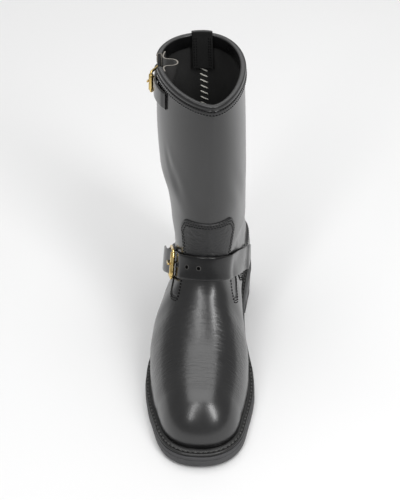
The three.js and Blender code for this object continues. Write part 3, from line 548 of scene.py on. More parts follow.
class Finish:
    def __init__(self, name):
        self.material = bpy.data.materials.new(name)
        self.material.use_nodes = True
        self.tree = self.material.node_tree
        self.tree.nodes.clear()
        self.output = self.tree.nodes.new("ShaderNodeOutputMaterial")
        self.shader = self.tree.nodes.new("ShaderNodeBsdfPrincipled")
        self.tree.links.new(self.shader.outputs[0], self.output.inputs[0])

    # Any node: its settings first, then the values or links of its sockets.
    def add(self, kind, settings=None, sockets=None, out=0):
        node = self.tree.nodes.new(kind)
        for key, value in (settings or {}).items():
            if key == "stops":
                self.setStops(node, value)
            else:
                setattr(node, key, value)
        pairs = sockets.items() if isinstance(sockets, dict) else enumerate(sockets or [])
        for key, value in pairs:
            self.feed(node.inputs[key], value)
        return Wire(self, node.outputs[out])

    def setStops(self, node, stops):
        ramp = node.color_ramp
        for place, tone in stops[2:]:
            ramp.elements.new(place)
        for element, (place, tone) in zip(ramp.elements, sorted(stops)):
            element.position = place
            element.color = (tone, tone, tone, 1)

    def feed(self, socket, value):
        if isinstance(value, Wire):
            self.tree.links.new(value.socket, socket)
        else:
            socket.default_value = value

    def place(self, scale=(1, 1, 1)):
        spot = self.add("ShaderNodeTexCoord", out=3)
        settings = {"vector_type": "POINT"}
        return self.add("ShaderNodeMapping", settings, {"Vector": spot, "Scale": scale})

    def noise(self, scale, detail=4.0, rough=0.55, stretch=(1, 1, 1), twist=0.0):
        sockets = {"Vector": self.place(stretch), "Scale": scale, "Detail": detail,
                   "Roughness": rough, "Distortion": twist}
        return self.add("ShaderNodeTexNoise", {}, sockets)

    def cells(self, scale, feature="F1", stretch=(1, 1, 1)):
        sockets = {"Vector": self.place(stretch), "Scale": scale}
        return self.add("ShaderNodeTexVoronoi", {"feature": feature}, sockets)

    def mask(self, name):
        return self.add("ShaderNodeAttribute", {"attribute_name": name}, out=2)

    def tint(self, share, low, high):
        settings = {"data_type": "RGBA"}
        sockets = {"Factor": share, 6: (*low, 1), 7: (*high, 1)}
        return self.add("ShaderNodeMix", settings, sockets, out=2)

    def bump(self, height, distance, strength=1.0, under=None):
        sockets = {"Height": height, "Distance": distance, "Strength": strength}
        if under is not None:
            sockets["Normal"] = under
        return self.add("ShaderNodeBump", {}, sockets)

    def finish(self, **sockets):
        names = {"color": "Base Color", "roughness": "Roughness", "metallic": "Metallic",
                 "coat": "Coat Weight", "coatRoughness": "Coat Roughness", "normal": "Normal",
                 "specular": "Specular IOR Level", "sheen": "Sheen Weight"}
        for key, value in sockets.items():
            self.feed(self.shader.inputs[names[key]], value)
        return self.material


def leatherFinish(name, look):
    f = Finish(name)
    patches = f.noise(look["patchScale"], 3.0)
    smudges = f.noise(look["patchScale"] * 4, 5.0, 0.6, (1, 1, 0.6))
    pores = f.cells(look["grainScale"], "SMOOTH_F1")
    fine = f.noise(look["grainScale"] * 1.6, 6.0, 0.6)
    color = f.tint((patches * 0.6 + smudges * 0.4).clamped(0.3, 0.75), look["dark"], look["light"])
    roughness = look["roughness"] + (smudges - 0.5) * look["roughSpread"] + (fine - 0.5) * 0.06
    grain = f.bump(pores * 0.6 + fine * 0.5, look["grainDepth"], look.get("grainStrength", 0.5))
    if look.get("wrinkle"):
        lines = f.noise(look["wrinkleScale"], 4.0, 0.55, look["wrinkleStretch"], 0.6)
        folds = lines * f.mask("flex")
        grain = f.bump(folds, look["wrinkle"], 1.0, grain)
    return f.finish(color=color, roughness=roughness, normal=grain, coat=look["coat"],
                    coatRoughness=look["coatRoughness"], specular=look.get("specular", 0.5))


upperLook = {
    "dark": (0.003, 0.003, 0.0033), "light": (0.009, 0.009, 0.0095), "patchScale": 9.0,
    "roughness": 0.3, "roughSpread": 0.12, "grainScale": 900.0, "grainDepth": 0.00008,
    "grainStrength": 0.45, "coat": 0.35, "coatRoughness": 0.2, "specular": 0.72,
    "wrinkle": 0.0005, "wrinkleScale": 170.0, "wrinkleStretch": (0.3, 2.2, 0.9),
}
upperLeather = leatherFinish("upperLeather", upperLook)
tabLeather = leatherFinish("tabLeather", {
    **upperLook, "light": (0.02, 0.02, 0.021), "roughness": 0.36, "specular": 0.5, "grainScale": 620.0,
    "grainDepth": 0.00016, "coat": 0.15, "wrinkle": 0.001, "wrinkleScale": 150.0,
    "wrinkleStretch": (0.7, 1.6, 2.6)})
trimLeather = leatherFinish("trimLeather", {
    **upperLook, "roughness": 0.3, "light": (0.014, 0.014, 0.0145), "specular": 0.45, "wrinkle": 0})
strapLeather = leatherFinish("strapLeather", {
    **upperLook, "roughness": 0.25, "grainDepth": 0.00006, "wrinkle": 0, "patchScale": 16.0,
    "specular": 0.4, "coat": 0.2})
liningLeather = leatherFinish("liningLeather", {
    **upperLook, "dark": (0.016, 0.016, 0.016), "light": (0.04, 0.04, 0.039), "coat": 0.0, "specular": 0.5,
    "roughness": 0.62, "wrinkle": 0, "grainDepth": 0.00014})
gussetLeather = leatherFinish("gussetLeather", {
    **upperLook, "dark": (0.03, 0.03, 0.03), "light": (0.07, 0.068, 0.066), "coat": 0.05,
    "roughness": 0.5, "wrinkle": 0})
cutEdge = leatherFinish("cutEdge", {
    **upperLook, "dark": (0.16, 0.145, 0.125), "light": (0.34, 0.32, 0.29), "coat": 0.0,
    "roughness": 0.7, "wrinkle": 0})
strapEdge = leatherFinish("strapEdge", {
    **upperLook, "dark": (0.05, 0.048, 0.045), "light": (0.13, 0.125, 0.12), "coat": 0.0,
    "roughness": 0.6, "wrinkle": 0})
# Flat matte black for the insides of the strap holes: painted shade in place of an open hole.
paintedHoleShade = leatherFinish("paintedHoleShade", {
    **upperLook, "dark": (0.001, 0.001, 0.001), "light": (0.002, 0.002, 0.002), "coat": 0.0,
    "roughness": 0.95, "specular": 0.05, "wrinkle": 0})
pullLeather = leatherFinish("pullLeather", {
    **upperLook, "dark": (0.006, 0.006, 0.006), "light": (0.02, 0.02, 0.02), "coat": 0.05,
    "roughness": 0.5, "wrinkle": 0, "grainDepth": 0.00016})
insoleLeather = leatherFinish("insoleLeather", {
    **upperLook, "dark": (0.09, 0.065, 0.045), "light": (0.17, 0.125, 0.09), "coat": 0.0,
    "roughness": 0.7, "wrinkle": 0})


def soleFinish(name, look):
    f = Finish(name)
    brushed = f.noise(look["lineScale"], 3.0, 0.5, (1, 1, 14))
    patches = f.noise(14.0, 4.0)
    specks = f.noise(1400.0, 2.0)
    color = f.tint((patches * 0.5 + brushed * 0.5).clamped(0.3, 0.72), look["dark"], look["light"])
    roughness = look["roughness"] + (brushed - 0.5) * 0.2
    normal = f.bump(brushed * 0.7 + specks * 0.3, look["depth"], 0.6)
    return f.finish(color=color, roughness=roughness, normal=normal, coat=look.get("coat", 0.0))


outsoleRubber = soleFinish("outsoleRubber", {
    "dark": (0.035, 0.035, 0.036), "light": (0.07, 0.07, 0.073), "roughness": 0.58,
    "lineScale": 120.0, "depth": 0.00012})
midsoleRubber = soleFinish("midsoleRubber", {
    "dark": (0.035, 0.035, 0.036), "light": (0.07, 0.07, 0.073), "roughness": 0.58,
    "lineScale": 120.0, "depth": 0.0001})
weltLeather = soleFinish("weltLeather", {
    "dark": (0.003, 0.003, 0.003), "light": (0.01, 0.01, 0.01), "roughness": 0.4,
    "lineScale": 200.0, "depth": 0.0001, "coat": 0.2})
heelStack = soleFinish("heelStack", {
    "dark": (0.012, 0.012, 0.012), "light": (0.04, 0.04, 0.042), "roughness": 0.4,
    "lineScale": 150.0, "depth": 0.0001, "coat": 0.15})
liftRubber = soleFinish("liftRubber", {
    "dark": (0.02, 0.02, 0.02), "light": (0.045, 0.045, 0.046), "roughness": 0.7,
    "lineScale": 90.0, "depth": 0.00012})


def brassFinish(name, look):
    f = Finish(name)
    worn = f.noise(look["wornScale"], 4.0, 0.6)
    scratches = f.noise(look["lineScale"], 3.0, 0.5, (1, 1, 7))
    color = f.tint((worn * 0.7 + scratches * 0.3).clamped(0.3, 0.7), look["dark"], look["light"])
    roughness = look["roughness"] + (scratches - 0.5) * 0.12 + (worn - 0.5) * 0.1
    normal = f.bump(scratches, look["depth"], 0.3)
    return f.finish(color=color, roughness=roughness, metallic=1.0, normal=normal)


brass = brassFinish("brass", {
    "dark": (0.68, 0.48, 0.17), "light": (0.86, 0.66, 0.29), "roughness": 0.26,
    "wornScale": 150.0, "lineScale": 900.0, "depth": 0.00001})


def threadFinish(name, dark, light, shine=0.5):
    f = Finish(name)
    twist = f.noise(900.0, 2.0, 0.5, (1, 1, 1))
    color = f.tint(twist.clamped(0.35, 0.65), dark, light)
    return f.finish(color=color, roughness=0.7 + (twist - 0.5) * 0.2, specular=shine,
                    normal=f.bump(twist, 0.0001, 0.8))


blackThread = threadFinish("blackThread", (0.001, 0.001, 0.001), (0.006, 0.006, 0.006), 0.1)
weltThread = threadFinish("weltThread", (0.03, 0.03, 0.03), (0.09, 0.09, 0.087))
creamThread = threadFinish("creamThread", (0.72, 0.7, 0.62), (0.95, 0.94, 0.88))
print("finishes ready")


# Upper: outer face, top edge and lining of one wall, open at the slit.
upperCut = {"lines": 340, "outerRows": 190, "innerRows": 64, "vampInset": 1.0}
tab = {"width": 64, "top": 169.5, "foot": 120, "crown": 3.5, "corner": 9, "shift": 0.018,
       "spread": 1.15, "reach": 69, "low": 0.6, "thick": 1.3}
strapCentreY, strapSlope = -55, 32
instep = {
    "centre": (-4, strapCentreY, 125 - 57 * math.tan(math.radians(strapSlope))), "slope": 32,
    "width": 24.5, "start": 132, "nose": -24, "rear": -24 - 27 * 1.3, "tail": 24, "tailSag": 2,
    "billetEnd": -146, "billet": 1.6, "wire": 1.5, "prong": 1.2, "lead": 7, "gap": 1.5,
    "overlays": True, "clearance": 0.3, "thick": 2.4, "corner": 2.0, "sideRoom": 0.6,
}
top = {
    **instep, "centre": (-4, -25, 276), "slope": 10, "width": 17, "start": -50, "nose": -112,
    "rear": -112 - 21 * 1.05, "tail": 16, "tailSag": 1, "billetEnd": -166, "billet": 1.6,
    "wire": 1.4, "prong": 1.0, "lead": 5, "gap": 0.7, "overlays": False,
}


# Where the middle of the instep strap crosses a line of the surface.
def strapUp(share):
    out = np.empty(share.shape)
    slope = math.radians(strapSlope)
    for n, s in np.ndenumerate(share):
        i = int(round(np.mod(s, 1) * lineCount)) % lineCount
        p = linePoints[i]
        high = (p[:, 2] - instep["centre"][2]) * math.cos(slope)
        high = high + (p[:, 1] - strapCentreY) * math.sin(slope)
        k = max(1, int(np.argmax(high > 0)))
        part = -high[k - 1] / (high[k] - high[k - 1])
        out[n] = mix(lineLengths[i, k - 1], lineLengths[i, k], np.clip(part, 0, 1))
    return out


# The vamp's upper edge hides under the strap and dips below it at each side.
notches = [{"at": 0.861, "wide": 0.042, "deep": 31}, {"at": 0.203, "wide": 0.035, "deep": 34}]
vampEnds = 0.36


def vampTop(share):
    turned = np.mod(share + 0.5, 1) - 0.5
    height = strapUp(share) - 2
    for notch in notches:
        centre = np.mod(notch["at"] + 0.5, 1) - 0.5
        height = height - notch["deep"] * np.exp(-((turned - centre) / notch["wide"]) ** 4)
    back = ease(vampEnds - 0.12, vampEnds, np.abs(turned))
    return height * (1 - back) + back * 30


vampShares = np.linspace(-vampEnds, vampEnds, 260)
vampHeights = vampTop(vampShares)


def underVamp(share, up):
    turned = np.mod(share + 0.5, 1) - 0.5
    height = np.interp(np.abs(turned) * np.sign(turned), vampShares, vampHeights, left=0, right=0)
    inside = np.abs(turned) < vampEnds
    return np.where(inside, ease(3.5, 1.2, np.maximum(0, up - height + 2.5)), 0)


def slitHalf(down):
    opening = last["slitWidth"] / (last["collarWidth"] * math.pi * 1.2)
    return opening / 2 * (1 - np.clip(down / last["slitDepth"], 0, 1)) + 0.004


# Both ends of the wall at the slit: three outer rows meet one inner row.
def slitCaps(shape, faces):
    count, size = shape[:2]
    inner = size - 1 - np.arange(upperCut["innerRows"])
    outer = 3 * np.arange(upperCut["innerRows"] - 1)
    first = np.stack([outer, outer + 1, inner[1:], inner[:-1]], -1)
    second = np.stack([outer + 1, outer + 2, outer + 3, inner[1:]], -1)
    cap = np.vstack([first, second])
    farEnd = (count - 1) * size
    flip = faces[0, 1] - faces[0, 0] != size
    near, far = (cap[:, ::-1], cap) if flip else (cap, cap[:, ::-1])
    return near[:, ::-1], far[:, ::-1] + farEnd


def makeUpper():
    s = upperCut
    t = np.linspace(0, 1, s["lines"])
    crowd = t - 0.028 * np.sin(4 * np.pi * (t + last["slitTop"]))
    crowd = (crowd - crowd[0]) / (crowd[-1] - crowd[0])

    def rows(count, offset, inset):
        v = np.linspace(0, 1, count)[None, :] ** 1.04
        middle = last["slitTop"] + crowd[:, None]
        total = lengthAt(middle)
        half = slitHalf((1 - v) * total) * ((1 - v) * total < last["slitDepth"])
        share = last["slitTop"] + half + crowd[:, None] * (1 - 2 * half)
        up = v * lengthAt(share)
        under = underVamp(share, up) * inset
        return raised(share, up, offset - under), share, up

    outer, share, up = rows(s["outerRows"], 0.0, s["vampInset"])
    inner = rows(s["innerRows"], -last["wall"], 0.0)[0][:, ::-1]
    rings = np.concatenate([outer, inner], 1)
    points, faces = ringBody(rings, capped=False)
    faces = np.vstack([faces, *slitCaps(rings.shape, faces)])
    piece = meshPiece("upperShell", points, faces, upperLeather, "upper_leather", ["upper"])
    size = rings.shape[1]
    paintFaces(piece, liningLeather, (faces % size >= s["outerRows"]).all(1))
    addFlex(piece, points)
    return piece


# How much the leather folds when the foot bends.
def addFlex(piece, points):
    y, z = points[:, 1], points[:, 2]
    toe = ease(-232, -195, y) * (1 - ease(-140, -118, y)) * (1 - ease(85, 110, z))
    ankle = ease(92, 108, z) * (1 - ease(140, 170, z)) * 0.35
    flex = np.clip(toe * ease(26, 48, z) + ankle, 0, 1)
    layer = piece.data.attributes.new("flex", "FLOAT", "POINT")
    layer.data.foreach_set("value", flex.astype(np.float32))


makeUpper()
print("upper shell done")


def makeVamp():
    a = edgeSteps(250, [0.0008, 0.0022])
    b = edgeSteps(130, [0.003, 0.009])
    share = mix(-vampEnds, vampEnds, a)[:, None] + 0 * b[None, :]
    high = np.interp(share[:, 0], vampShares, vampHeights)[:, None]
    up = mix(0.3, high, b[None, :])
    points, faces = leatherPanel(share, up, -0.9, 1.25, 0.8)[:2]
    piece = meshPiece("vampPanel", points, faces, upperLeather, "upper_leather")
    addFlex(piece, points)
    threads = []
    for inset in (2.4, 4.8):
        line = np.linspace(-vampEnds + 0.01, vampEnds - 0.01, 500)
        height = np.interp(line, vampShares, vampHeights) - inset
        threads.append(surfaceRow(line, height, 0.5, 3.1, 2.4, 0.5))
    meshPiece("vampStitches", *joined(threads), blackThread, "upper_leather")


makeVamp()
print("vamp done")


def makeTab():
    a = edgeSteps(90, [0.006, 0.018])
    b = edgeSteps(80, [0.005, 0.015])
    side = 2 * a - 1
    away = np.abs(side)
    half = math.asin(tab["width"] / 2 / tab["reach"]) / (2 * math.pi)
    corner = tab["corner"] * (1 - np.sqrt(1 - ease(0.7, 1, away) ** 2 * 0.96))
    high = tab["top"] + tab["crown"] * (1 - away * away) - corner

    def spot(sideAt, highAt, rise):
        share = tab["shift"] + sideAt * half * mix(tab["spread"], 1, rise)
        return share, upAt(share, mix(tab["foot"], highAt, rise))

    share, up = spot(side[:, None], high[:, None], b[None, :])
    points, faces, edge = leatherPanel(share, up, tab["low"], tab["thick"], 0.9, 1.6)
    piece = meshPiece("shinTab", points, faces, tabLeather, "tab_leather", ["shin_tab"])
    layer = piece.data.attributes.new("flex", "FLOAT", "POINT")
    layer.data.foreach_set("value", ease(2, 7, edge).ravel().astype(np.float32))
    threads = []
    over = tab["low"] + tab["thick"] + 0.02
    for inset in (2.2, 4.4):
        shrink = 1 - inset / (tab["width"] / 2)
        sides = np.concatenate([np.full(60, -1.0), np.linspace(-1, 1, 90), np.full(60, 1.0)])
        rises = np.concatenate([np.linspace(0, 1, 60), np.ones(90), np.linspace(1, 0, 60)])
        highs = np.interp(sides, side, high) - inset
        line, height = spot(sides * shrink, highs, rises)
        threads.append(surfaceRow(line, height, over, 3.0, 2.4, 0.5))
    meshPiece("tabStitches", *joined(threads), blackThread, "tab_leather")


makeTab()
counter = {"reach": 0.135, "height": 48, "low": 0.8, "thick": 1.3}


def makeCounter():
    a = edgeSteps(150, [0.003, 0.009])
    b = edgeSteps(60, [0.006, 0.018])
    away = np.abs(2 * a - 1)
    share = 0.5 + (2 * a - 1)[:, None] * counter["reach"] + 0 * b[None, :]
    high = counter["height"] * (1 - 0.35 * away ** 2 - 0.25 * ease(0.8, 1, away))
    up = mix(1.2, high[:, None], b[None, :])
    points, faces = leatherPanel(share, up, counter["low"], counter["thick"], 0.9, 1.4)[:2]
    meshPiece("heelCounter", points, faces, upperLeather, "upper_leather", ["counter"])
    threads = []
    over = counter["low"] + counter["thick"] + 0.02
    for inset in (2.4, 4.8):
        line = np.linspace(0.5 - counter["reach"] + inset * 0.0012,
                           0.5 + counter["reach"] - inset * 0.0012, 240)
        height = np.interp(line, share[:, 0], high) - inset
        threads.append(surfaceRow(line, height, over, 3.1, 2.4, 0.5))
    meshPiece("counterStitches", *joined(threads), blackThread, "upper_leather")


makeCounter()
print("overlays done")

band = {"low": 0.45, "thick": 1.1, "lap": 10, "facing": 13, "lines": 400}


def makeBand():
    half = slitHalf(0) + 0.002
    shares = np.linspace(last["slitTop"] + half - 1, last["slitTop"] - half, band["lines"])
    out, into, thick = band["low"], last["wall"] + band["low"], band["thick"]
    total = lengthAt(shares)[:, None]
    # over the edge from the outside lap to the inside facing: height from the top, offset
    turn = np.linspace(0, np.pi, 14)
    middle, wide = (out - into) / 2, (out + into) / 2 + thick
    arc = [(thick * math.sin(t), middle + wide * math.cos(t)) for t in turn]
    lap, facing = -band["lap"], -band["facing"]
    outside = [(lap, out - 0.2), (lap + 0.05, out + 0.5), (lap + 0.4, out + thick - 0.15),
               (lap + 0.9, out + thick), (-6.5, out + thick + 0.1), (-4.0, out + thick + 0.1),
               (-3.5, out + thick - 0.35), (-2.9, out + thick + 0.1), (-1.4, out + thick + 0.4)]
    inside = [(-1.2, -into - thick - 0.1), (-5, -into - thick), (facing + 0.8, -into - thick),
              (facing + 0.2, -into - thick + 0.3), (facing, -into + 0.2)]
    profile = np.array(outside + arc + inside)
    up = total + profile[None, :, 0]
    rings = raised(shares[:, None], np.minimum(up, total), profile[None, :, 1])
    rings[..., 2] += np.maximum(0, profile[None, :, 0])
    points, faces = ringBody(rings)
    piece = meshPiece("collarBand", points, faces, trimLeather, "trim_leather", ["collar_band"])
    ends = np.arange(len(faces)) >= (len(shares) - 1) * len(profile)
    paintFaces(piece, cutEdge, ends)
    threads = []
    line = np.linspace(shares[3], shares[-4], 700)
    whole = lengthAt(line)
    for inset in (-band["lap"] + 1.6, -4.6):
        threads.append(surfaceRow(line, whole + inset, out + thick + 0.12, 3.1, 2.4, 0.5))
    meshPiece("bandStitches", *joined(threads), blackThread, "trim_leather")


makeBand()
print("collar band done")
facingRoom = 0.45
behindFacing = last["wall"] + band["low"] + band["thick"] + facingRoom
pull = {"width": 25, "length": 35, "thick": 2.6, "rise": 0.3, "stand": 5.5, "shift": 0.0105,
        "reach": 68}
gusset = {"thick": 1.4, "reach": 26, "loop": 15, "width": 17, "round": 0.95, "lines": 60, "rows": 60}


# Seen from above the leather runs flat behind the slit and folds inwards as a rounded loop.
def makeGusset():
    g = gusset
    t = np.linspace(-1, 1, g["lines"])
    across = g["width"] * (t + g["round"] * np.sin(2 * np.pi * t) / (2 * np.pi))
    deep = g["loop"] * (1 + np.cos(np.pi * t)) / 2
    flap = np.linspace(g["reach"], g["width"], 9)[:-1]
    across = np.concatenate([-flap, across, flap[::-1]])
    deep = np.concatenate([0 * flap, deep, 0 * flap])
    down = np.linspace(last["slitDepth"] + 6, 1, g["rows"])[None, :]
    fold = 1 - ease(0, last["slitDepth"], down)
    run, dive = np.gradient(across)[:, None], np.gradient(deep)[:, None] * fold
    size = np.hypot(run, dive)

    def face(thick):
        side = across[:, None] - dive / size * thick
        share = last["slitTop"] + side / (2 * math.pi * pull["reach"])
        inwards = behindFacing + deep[:, None] * fold + run / size * thick
        return raised(share, lengthAt(share) - down, -inwards)

    rings = np.concatenate([face(0), face(g["thick"])[:, ::-1]], 1)
    points, faces = ringBody(rings)
    piece = meshPiece("slitGusset", points, faces, gussetLeather, "gusset_leather", ["gusset"], 40)
    row = faces % rings.shape[1]
    paintFaces(piece, cutEdge, ((row == g["rows"] - 1) | (row == g["rows"])).all(1))


makeGusset()


def makePull():
    half = pull["width"] / 2 / (2 * math.pi * pull["reach"])
    centre = 0.5 + pull["shift"]
    a = np.linspace(-1, 1, 31)
    topUp = pull["rise"] + band["thick"] + pull["stand"]
    thick = pull["thick"] / 2
    # the loop's section: up the front, over the fold and down the back
    turn = np.linspace(0, np.pi, 11)
    front = [(h, thick) for h in np.linspace(-pull["length"], topUp - thick, 26)]
    fold = [(topUp - thick + thick * math.sin(t), thick * math.cos(t)) for t in turn[1:-1]]
    back = [(h, -thick) for h in np.linspace(topUp - thick, -pull["length"], 26)]
    section = np.array(front + fold + back)
    share = centre + a[:, None] * half + 0 * section[None, :, 0]
    total = lengthAt(share)
    edge = 1 - np.clip((1 - np.abs(a)) / 0.08, 0, 1)
    slim = np.sqrt(np.maximum(0.05, 1 - edge ** 2))[:, None]
    middle = -behindFacing - thick
    flat = raised(share, total + np.minimum(section[None, :, 0], 0), middle + section[None, :, 1] * slim)
    flat[..., 2] += np.maximum(0, section[None, :, 0])
    points, faces = ringBody(flat)
    meshPiece("pullStrap", points, faces, pullLeather, "pull_leather", ["pull_strap"], 60)
    threads = []
    for side in (-0.82, -0.6, 0.6, 0.82):
        heights = np.linspace(-pull["length"] + 2, -1, 60)
        line = np.full(60, centre + side * half)
        path = raised(line, lengthAt(line) + heights, -behindFacing - pull["thick"] - 0.02)
        threads.append(threadRow(path, -outward(path), 2.9, 2.2, 0.5))
    meshPiece("pullStitches", *joined(threads), blackThread, "pull_leather")


makePull()
whip = {"count": 10, "pitch": 6.5, "from": 39, "width": 9.5, "lean": 4.6, "radius": 0.75}


# Slanted stitches over the butted seam inside the back of the shaft.
def makeWhip():
    bodies = []
    centre = 0.5 + pull["shift"]
    for n in range(whip["count"]):
        down = whip["from"] + n * whip["pitch"]
        a = np.linspace(-1, 1, 9)
        share = centre - a * whip["width"] / 2 / (2 * math.pi * pull["reach"])
        up = lengthAt(share) - down - a * whip["lean"] / 2
        path = raised(share, up, -last["wall"] - 0.15)
        bodies.append(threadRow(path, -outward(path), 20, whip["width"] + 1, whip["radius"]))
    meshPiece("seamWhip", *joined(bodies), creamThread, "gusset_leather")


makeWhip()
print("collar inside done")


# Straps run in a plane that tips towards the heel.
def strapAxis(strap, degrees):
    turn, slope = math.radians(degrees), math.radians(strap["slope"])
    forward = math.cos(turn)
    aim = np.array([math.sin(turn), -forward * math.cos(slope), forward * math.sin(slope)])
    return hit(np.array(strap["centre"], float), aim)


def strapFrame(strap, degrees):
    point = strapAxis(strap, degrees)
    normal = outward(point)
    along = unit(strapAxis(strap, degrees + 1) - strapAxis(strap, degrees - 1))
    across = unit(np.cross(normal, along))
    if across[2] < 0:
        across = -across
    return {"point": point, "normal": normal, "along": along, "across": across}


def buckleFrame(strap):
    rear, nose = strapFrame(strap, strap["rear"]), strapFrame(strap, strap["nose"])
    run = nose["point"] - rear["point"]
    length = np.linalg.norm(run)
    along = run / length
    normal = rear["normal"] + nose["normal"]
    normal = unit(normal - along * (normal @ along))
    across = unit(np.cross(normal, along))
    if across[2] < 0:
        across = -across

    def at(s, h, side=0.0):
        return rear["point"] + along * s + normal * h + across * side

    return {"at": at, "along": along, "normal": normal, "across": across, "length": length}


def buckleStack(strap):
    c, billet, thick = strap["clearance"], strap["billet"], strap["thick"]
    low = strap["gap"] + billet / 2
    wrap = strap["wire"] + c + billet / 2
    bar = low + wrap
    tail = bar + wrap + billet / 2 + c + thick / 2
    under = strap["gap"] + thick / 2
    rollerRadius = strap["wire"] + c + 0.7
    roller = under + thick / 2 + 0.9 + rollerRadius
    return {"low": low, "wrap": wrap, "bar": bar, "tail": tail, "under": under,
            "rollerRadius": rollerRadius, "roller": roller}


def liftOver(strap, degrees):
    if not strap["overlays"]:
        return 0.0
    turn = abs(degrees)
    return float((1 - ease(20, 30, turn)) * 1.9 + ease(108, 122, turn) * 2.1)


# A strap's section: a flat oblong with rounded edges, lying on the surface or flat.
sectionSides = np.array([-1, -0.985, -0.94, -0.8, -0.5, -0.2, 0.2, 0.5, 0.8, 0.94, 0.985, 1])
sectionRise = np.array([0.25, 0.7, 0.92, 1, 1, 1, 1, 1, 1, 0.92, 0.7, 0.25])


def strapRing(spot, middle, thick, half, lies):
    base = spot["point"] + spot["across"] * (sectionSides * half)[:, None]
    if lies:
        inside = base - spot["normal"] * 20
        base = hit(inside, spot["normal"], 40.0)
    high = base + spot["normal"] * (middle + thick / 2 * sectionRise)[:, None]
    low = base + spot["normal"] * (middle - thick / 2 * sectionRise)[:, None]
    return np.concatenate([high, low[::-1]])


# A strap's body, with its cut edges in their own finish.
def leatherStrip(name, rings, node):
    points, faces = ringBody(np.array(rings))
    piece = meshPiece(name, points, faces, strapLeather, "strap_leather", [node], 55)
    size = rings[0].shape[0]
    row = np.sort(faces % size, 1)
    side = (row[:, 0] == size // 2 - 1) & (row[:, 3] == size // 2)
    other = (row[:, 0] == 0) & (row[:, 3] == size - 1)
    bands = np.arange(len(faces)) < (len(rings) - 1) * size
    paintFaces(piece, strapEdge, (side | other) & bands)


climb = {"along": [0, 0.2, 0.5, 0.8, 1.0], "rise": [1.0, 0.85, 0.44, 0.14, 0.05]}
tailShape = {"along": [0, 0.6, 0.88, 0.96, 1.0], "width": [1, 1, 1, 0.8, 0.45]}


def makeStrap(name, strap, node):
    stack, buckle = buckleStack(strap), buckleFrame(strap)
    half = strap["width"] / 2
    step = 1.5 if strap["overlays"] else 1.0
    turns = np.arange(strap["start"], strap["nose"] + strap["lead"], -step)
    pressed = -0.35 if strap["overlays"] else strap["gap"]  # the sewn end is pulled down
    rings = []
    for d in turns:
        down = (pressed + 0.35) * (1 - float(ease(0, 12, strap["start"] - d)))
        middle = stack["under"] + liftOver(strap, d) - down
        rings.append(strapRing(strapFrame(strap, d), middle, strap["thick"], half, True))
    riseAt = column({"at": climb["along"], "rise": climb["rise"]}, "rise")
    for s in np.linspace(1, 0, 16):
        spot = {**buckle, "point": buckle["at"](s * buckle["length"], 0)}
        middle = mix(stack["under"], stack["tail"], float(riseAt(s)))
        rings.append(strapRing(spot, middle, strap["thick"], half, False))
    for s in np.linspace(0.05, 1, 22):
        spot = {**buckle, "point": buckle["at"](-s * strap["tail"], 0)}
        wide = half * np.interp(s, tailShape["along"], tailShape["width"])
        middle = stack["tail"] - strap["tailSag"] * s * s
        rings.append(strapRing(spot, middle, strap["thick"], wide, False))
    leatherStrip(name, rings, node)


makeStrap("instepStrap", instep, "instep_strap")
makeStrap("topStrap", top, "top_strap")


def makeBillet(name, strap, node):
    stack, buckle = buckleStack(strap), buckleFrame(strap)
    half = strap["width"] / 2 - 0.5
    angles = np.linspace(strap["billetEnd"], strap["rear"] - 6, 40)
    rings = []
    for d in angles:
        billetLow = stack["low"] + liftOver(strap, d)
        ring = strapRing(strapFrame(strap, d), billetLow, strap["billet"], half, True)
        size = len(ring) // 2
        rings.append(np.concatenate([ring[size:][::-1], ring[:size][::-1]]))
    for degrees in np.linspace(-90, 90, 15):
        turn = math.radians(degrees)
        out = buckle["along"] * math.cos(turn) + buckle["normal"] * math.sin(turn)
        spot = {"point": buckle["at"](0, stack["bar"]), "normal": out, "across": buckle["across"]}
        rings.append(strapRing(spot, stack["wrap"], strap["billet"], half, False))
    keyAngles = np.linspace(strap["billetEnd"], strap["rear"] - 6, 5)[2:][::-1]
    rests = [stack["low"] + liftOver(strap, d) + strap["billet"] + strap["clearance"] for d in keyAngles]
    rests[0] = stack["bar"] + stack["wrap"] * 0.8
    for d in np.linspace(keyAngles[0], keyAngles[-1], 20):
        lift = np.interp(-d, -keyAngles, rests)
        rings.append(strapRing(strapFrame(strap, d), lift, strap["billet"], half, True))
    leatherStrip(name, rings, node)


makeBillet("instepBillet", instep, "instep_billet")
makeBillet("topBillet", top, "top_billet")
print("straps done")


# A round wire through points.
def wireBody(points, radii, sides=20, closed=False):
    points = np.asarray(points, float)
    count = len(points)
    radii = np.broadcast_to(radii, count)
    first = np.array([0.0, 0, 1])
    rings = []
    for i, point in enumerate(points):
        before = points[i - 1] if closed or i > 0 else points[0]
        after = points[(i + 1) % count] if closed or i < count - 1 else points[-1]
        along = unit(after - before)
        if i == 0 and abs(along[2]) > 0.9:
            first = np.array([0.0, 1, 0])
        first = unit(first - along * (first @ along))
        second = np.cross(along, first)
        turn = 2 * np.pi * (np.arange(sides) + 0.5) / sides
        rings.append(point + radii[i] * (np.cos(turn)[:, None] * first + np.sin(turn)[:, None] * second))
    return ringBody(np.array(rings), closed)


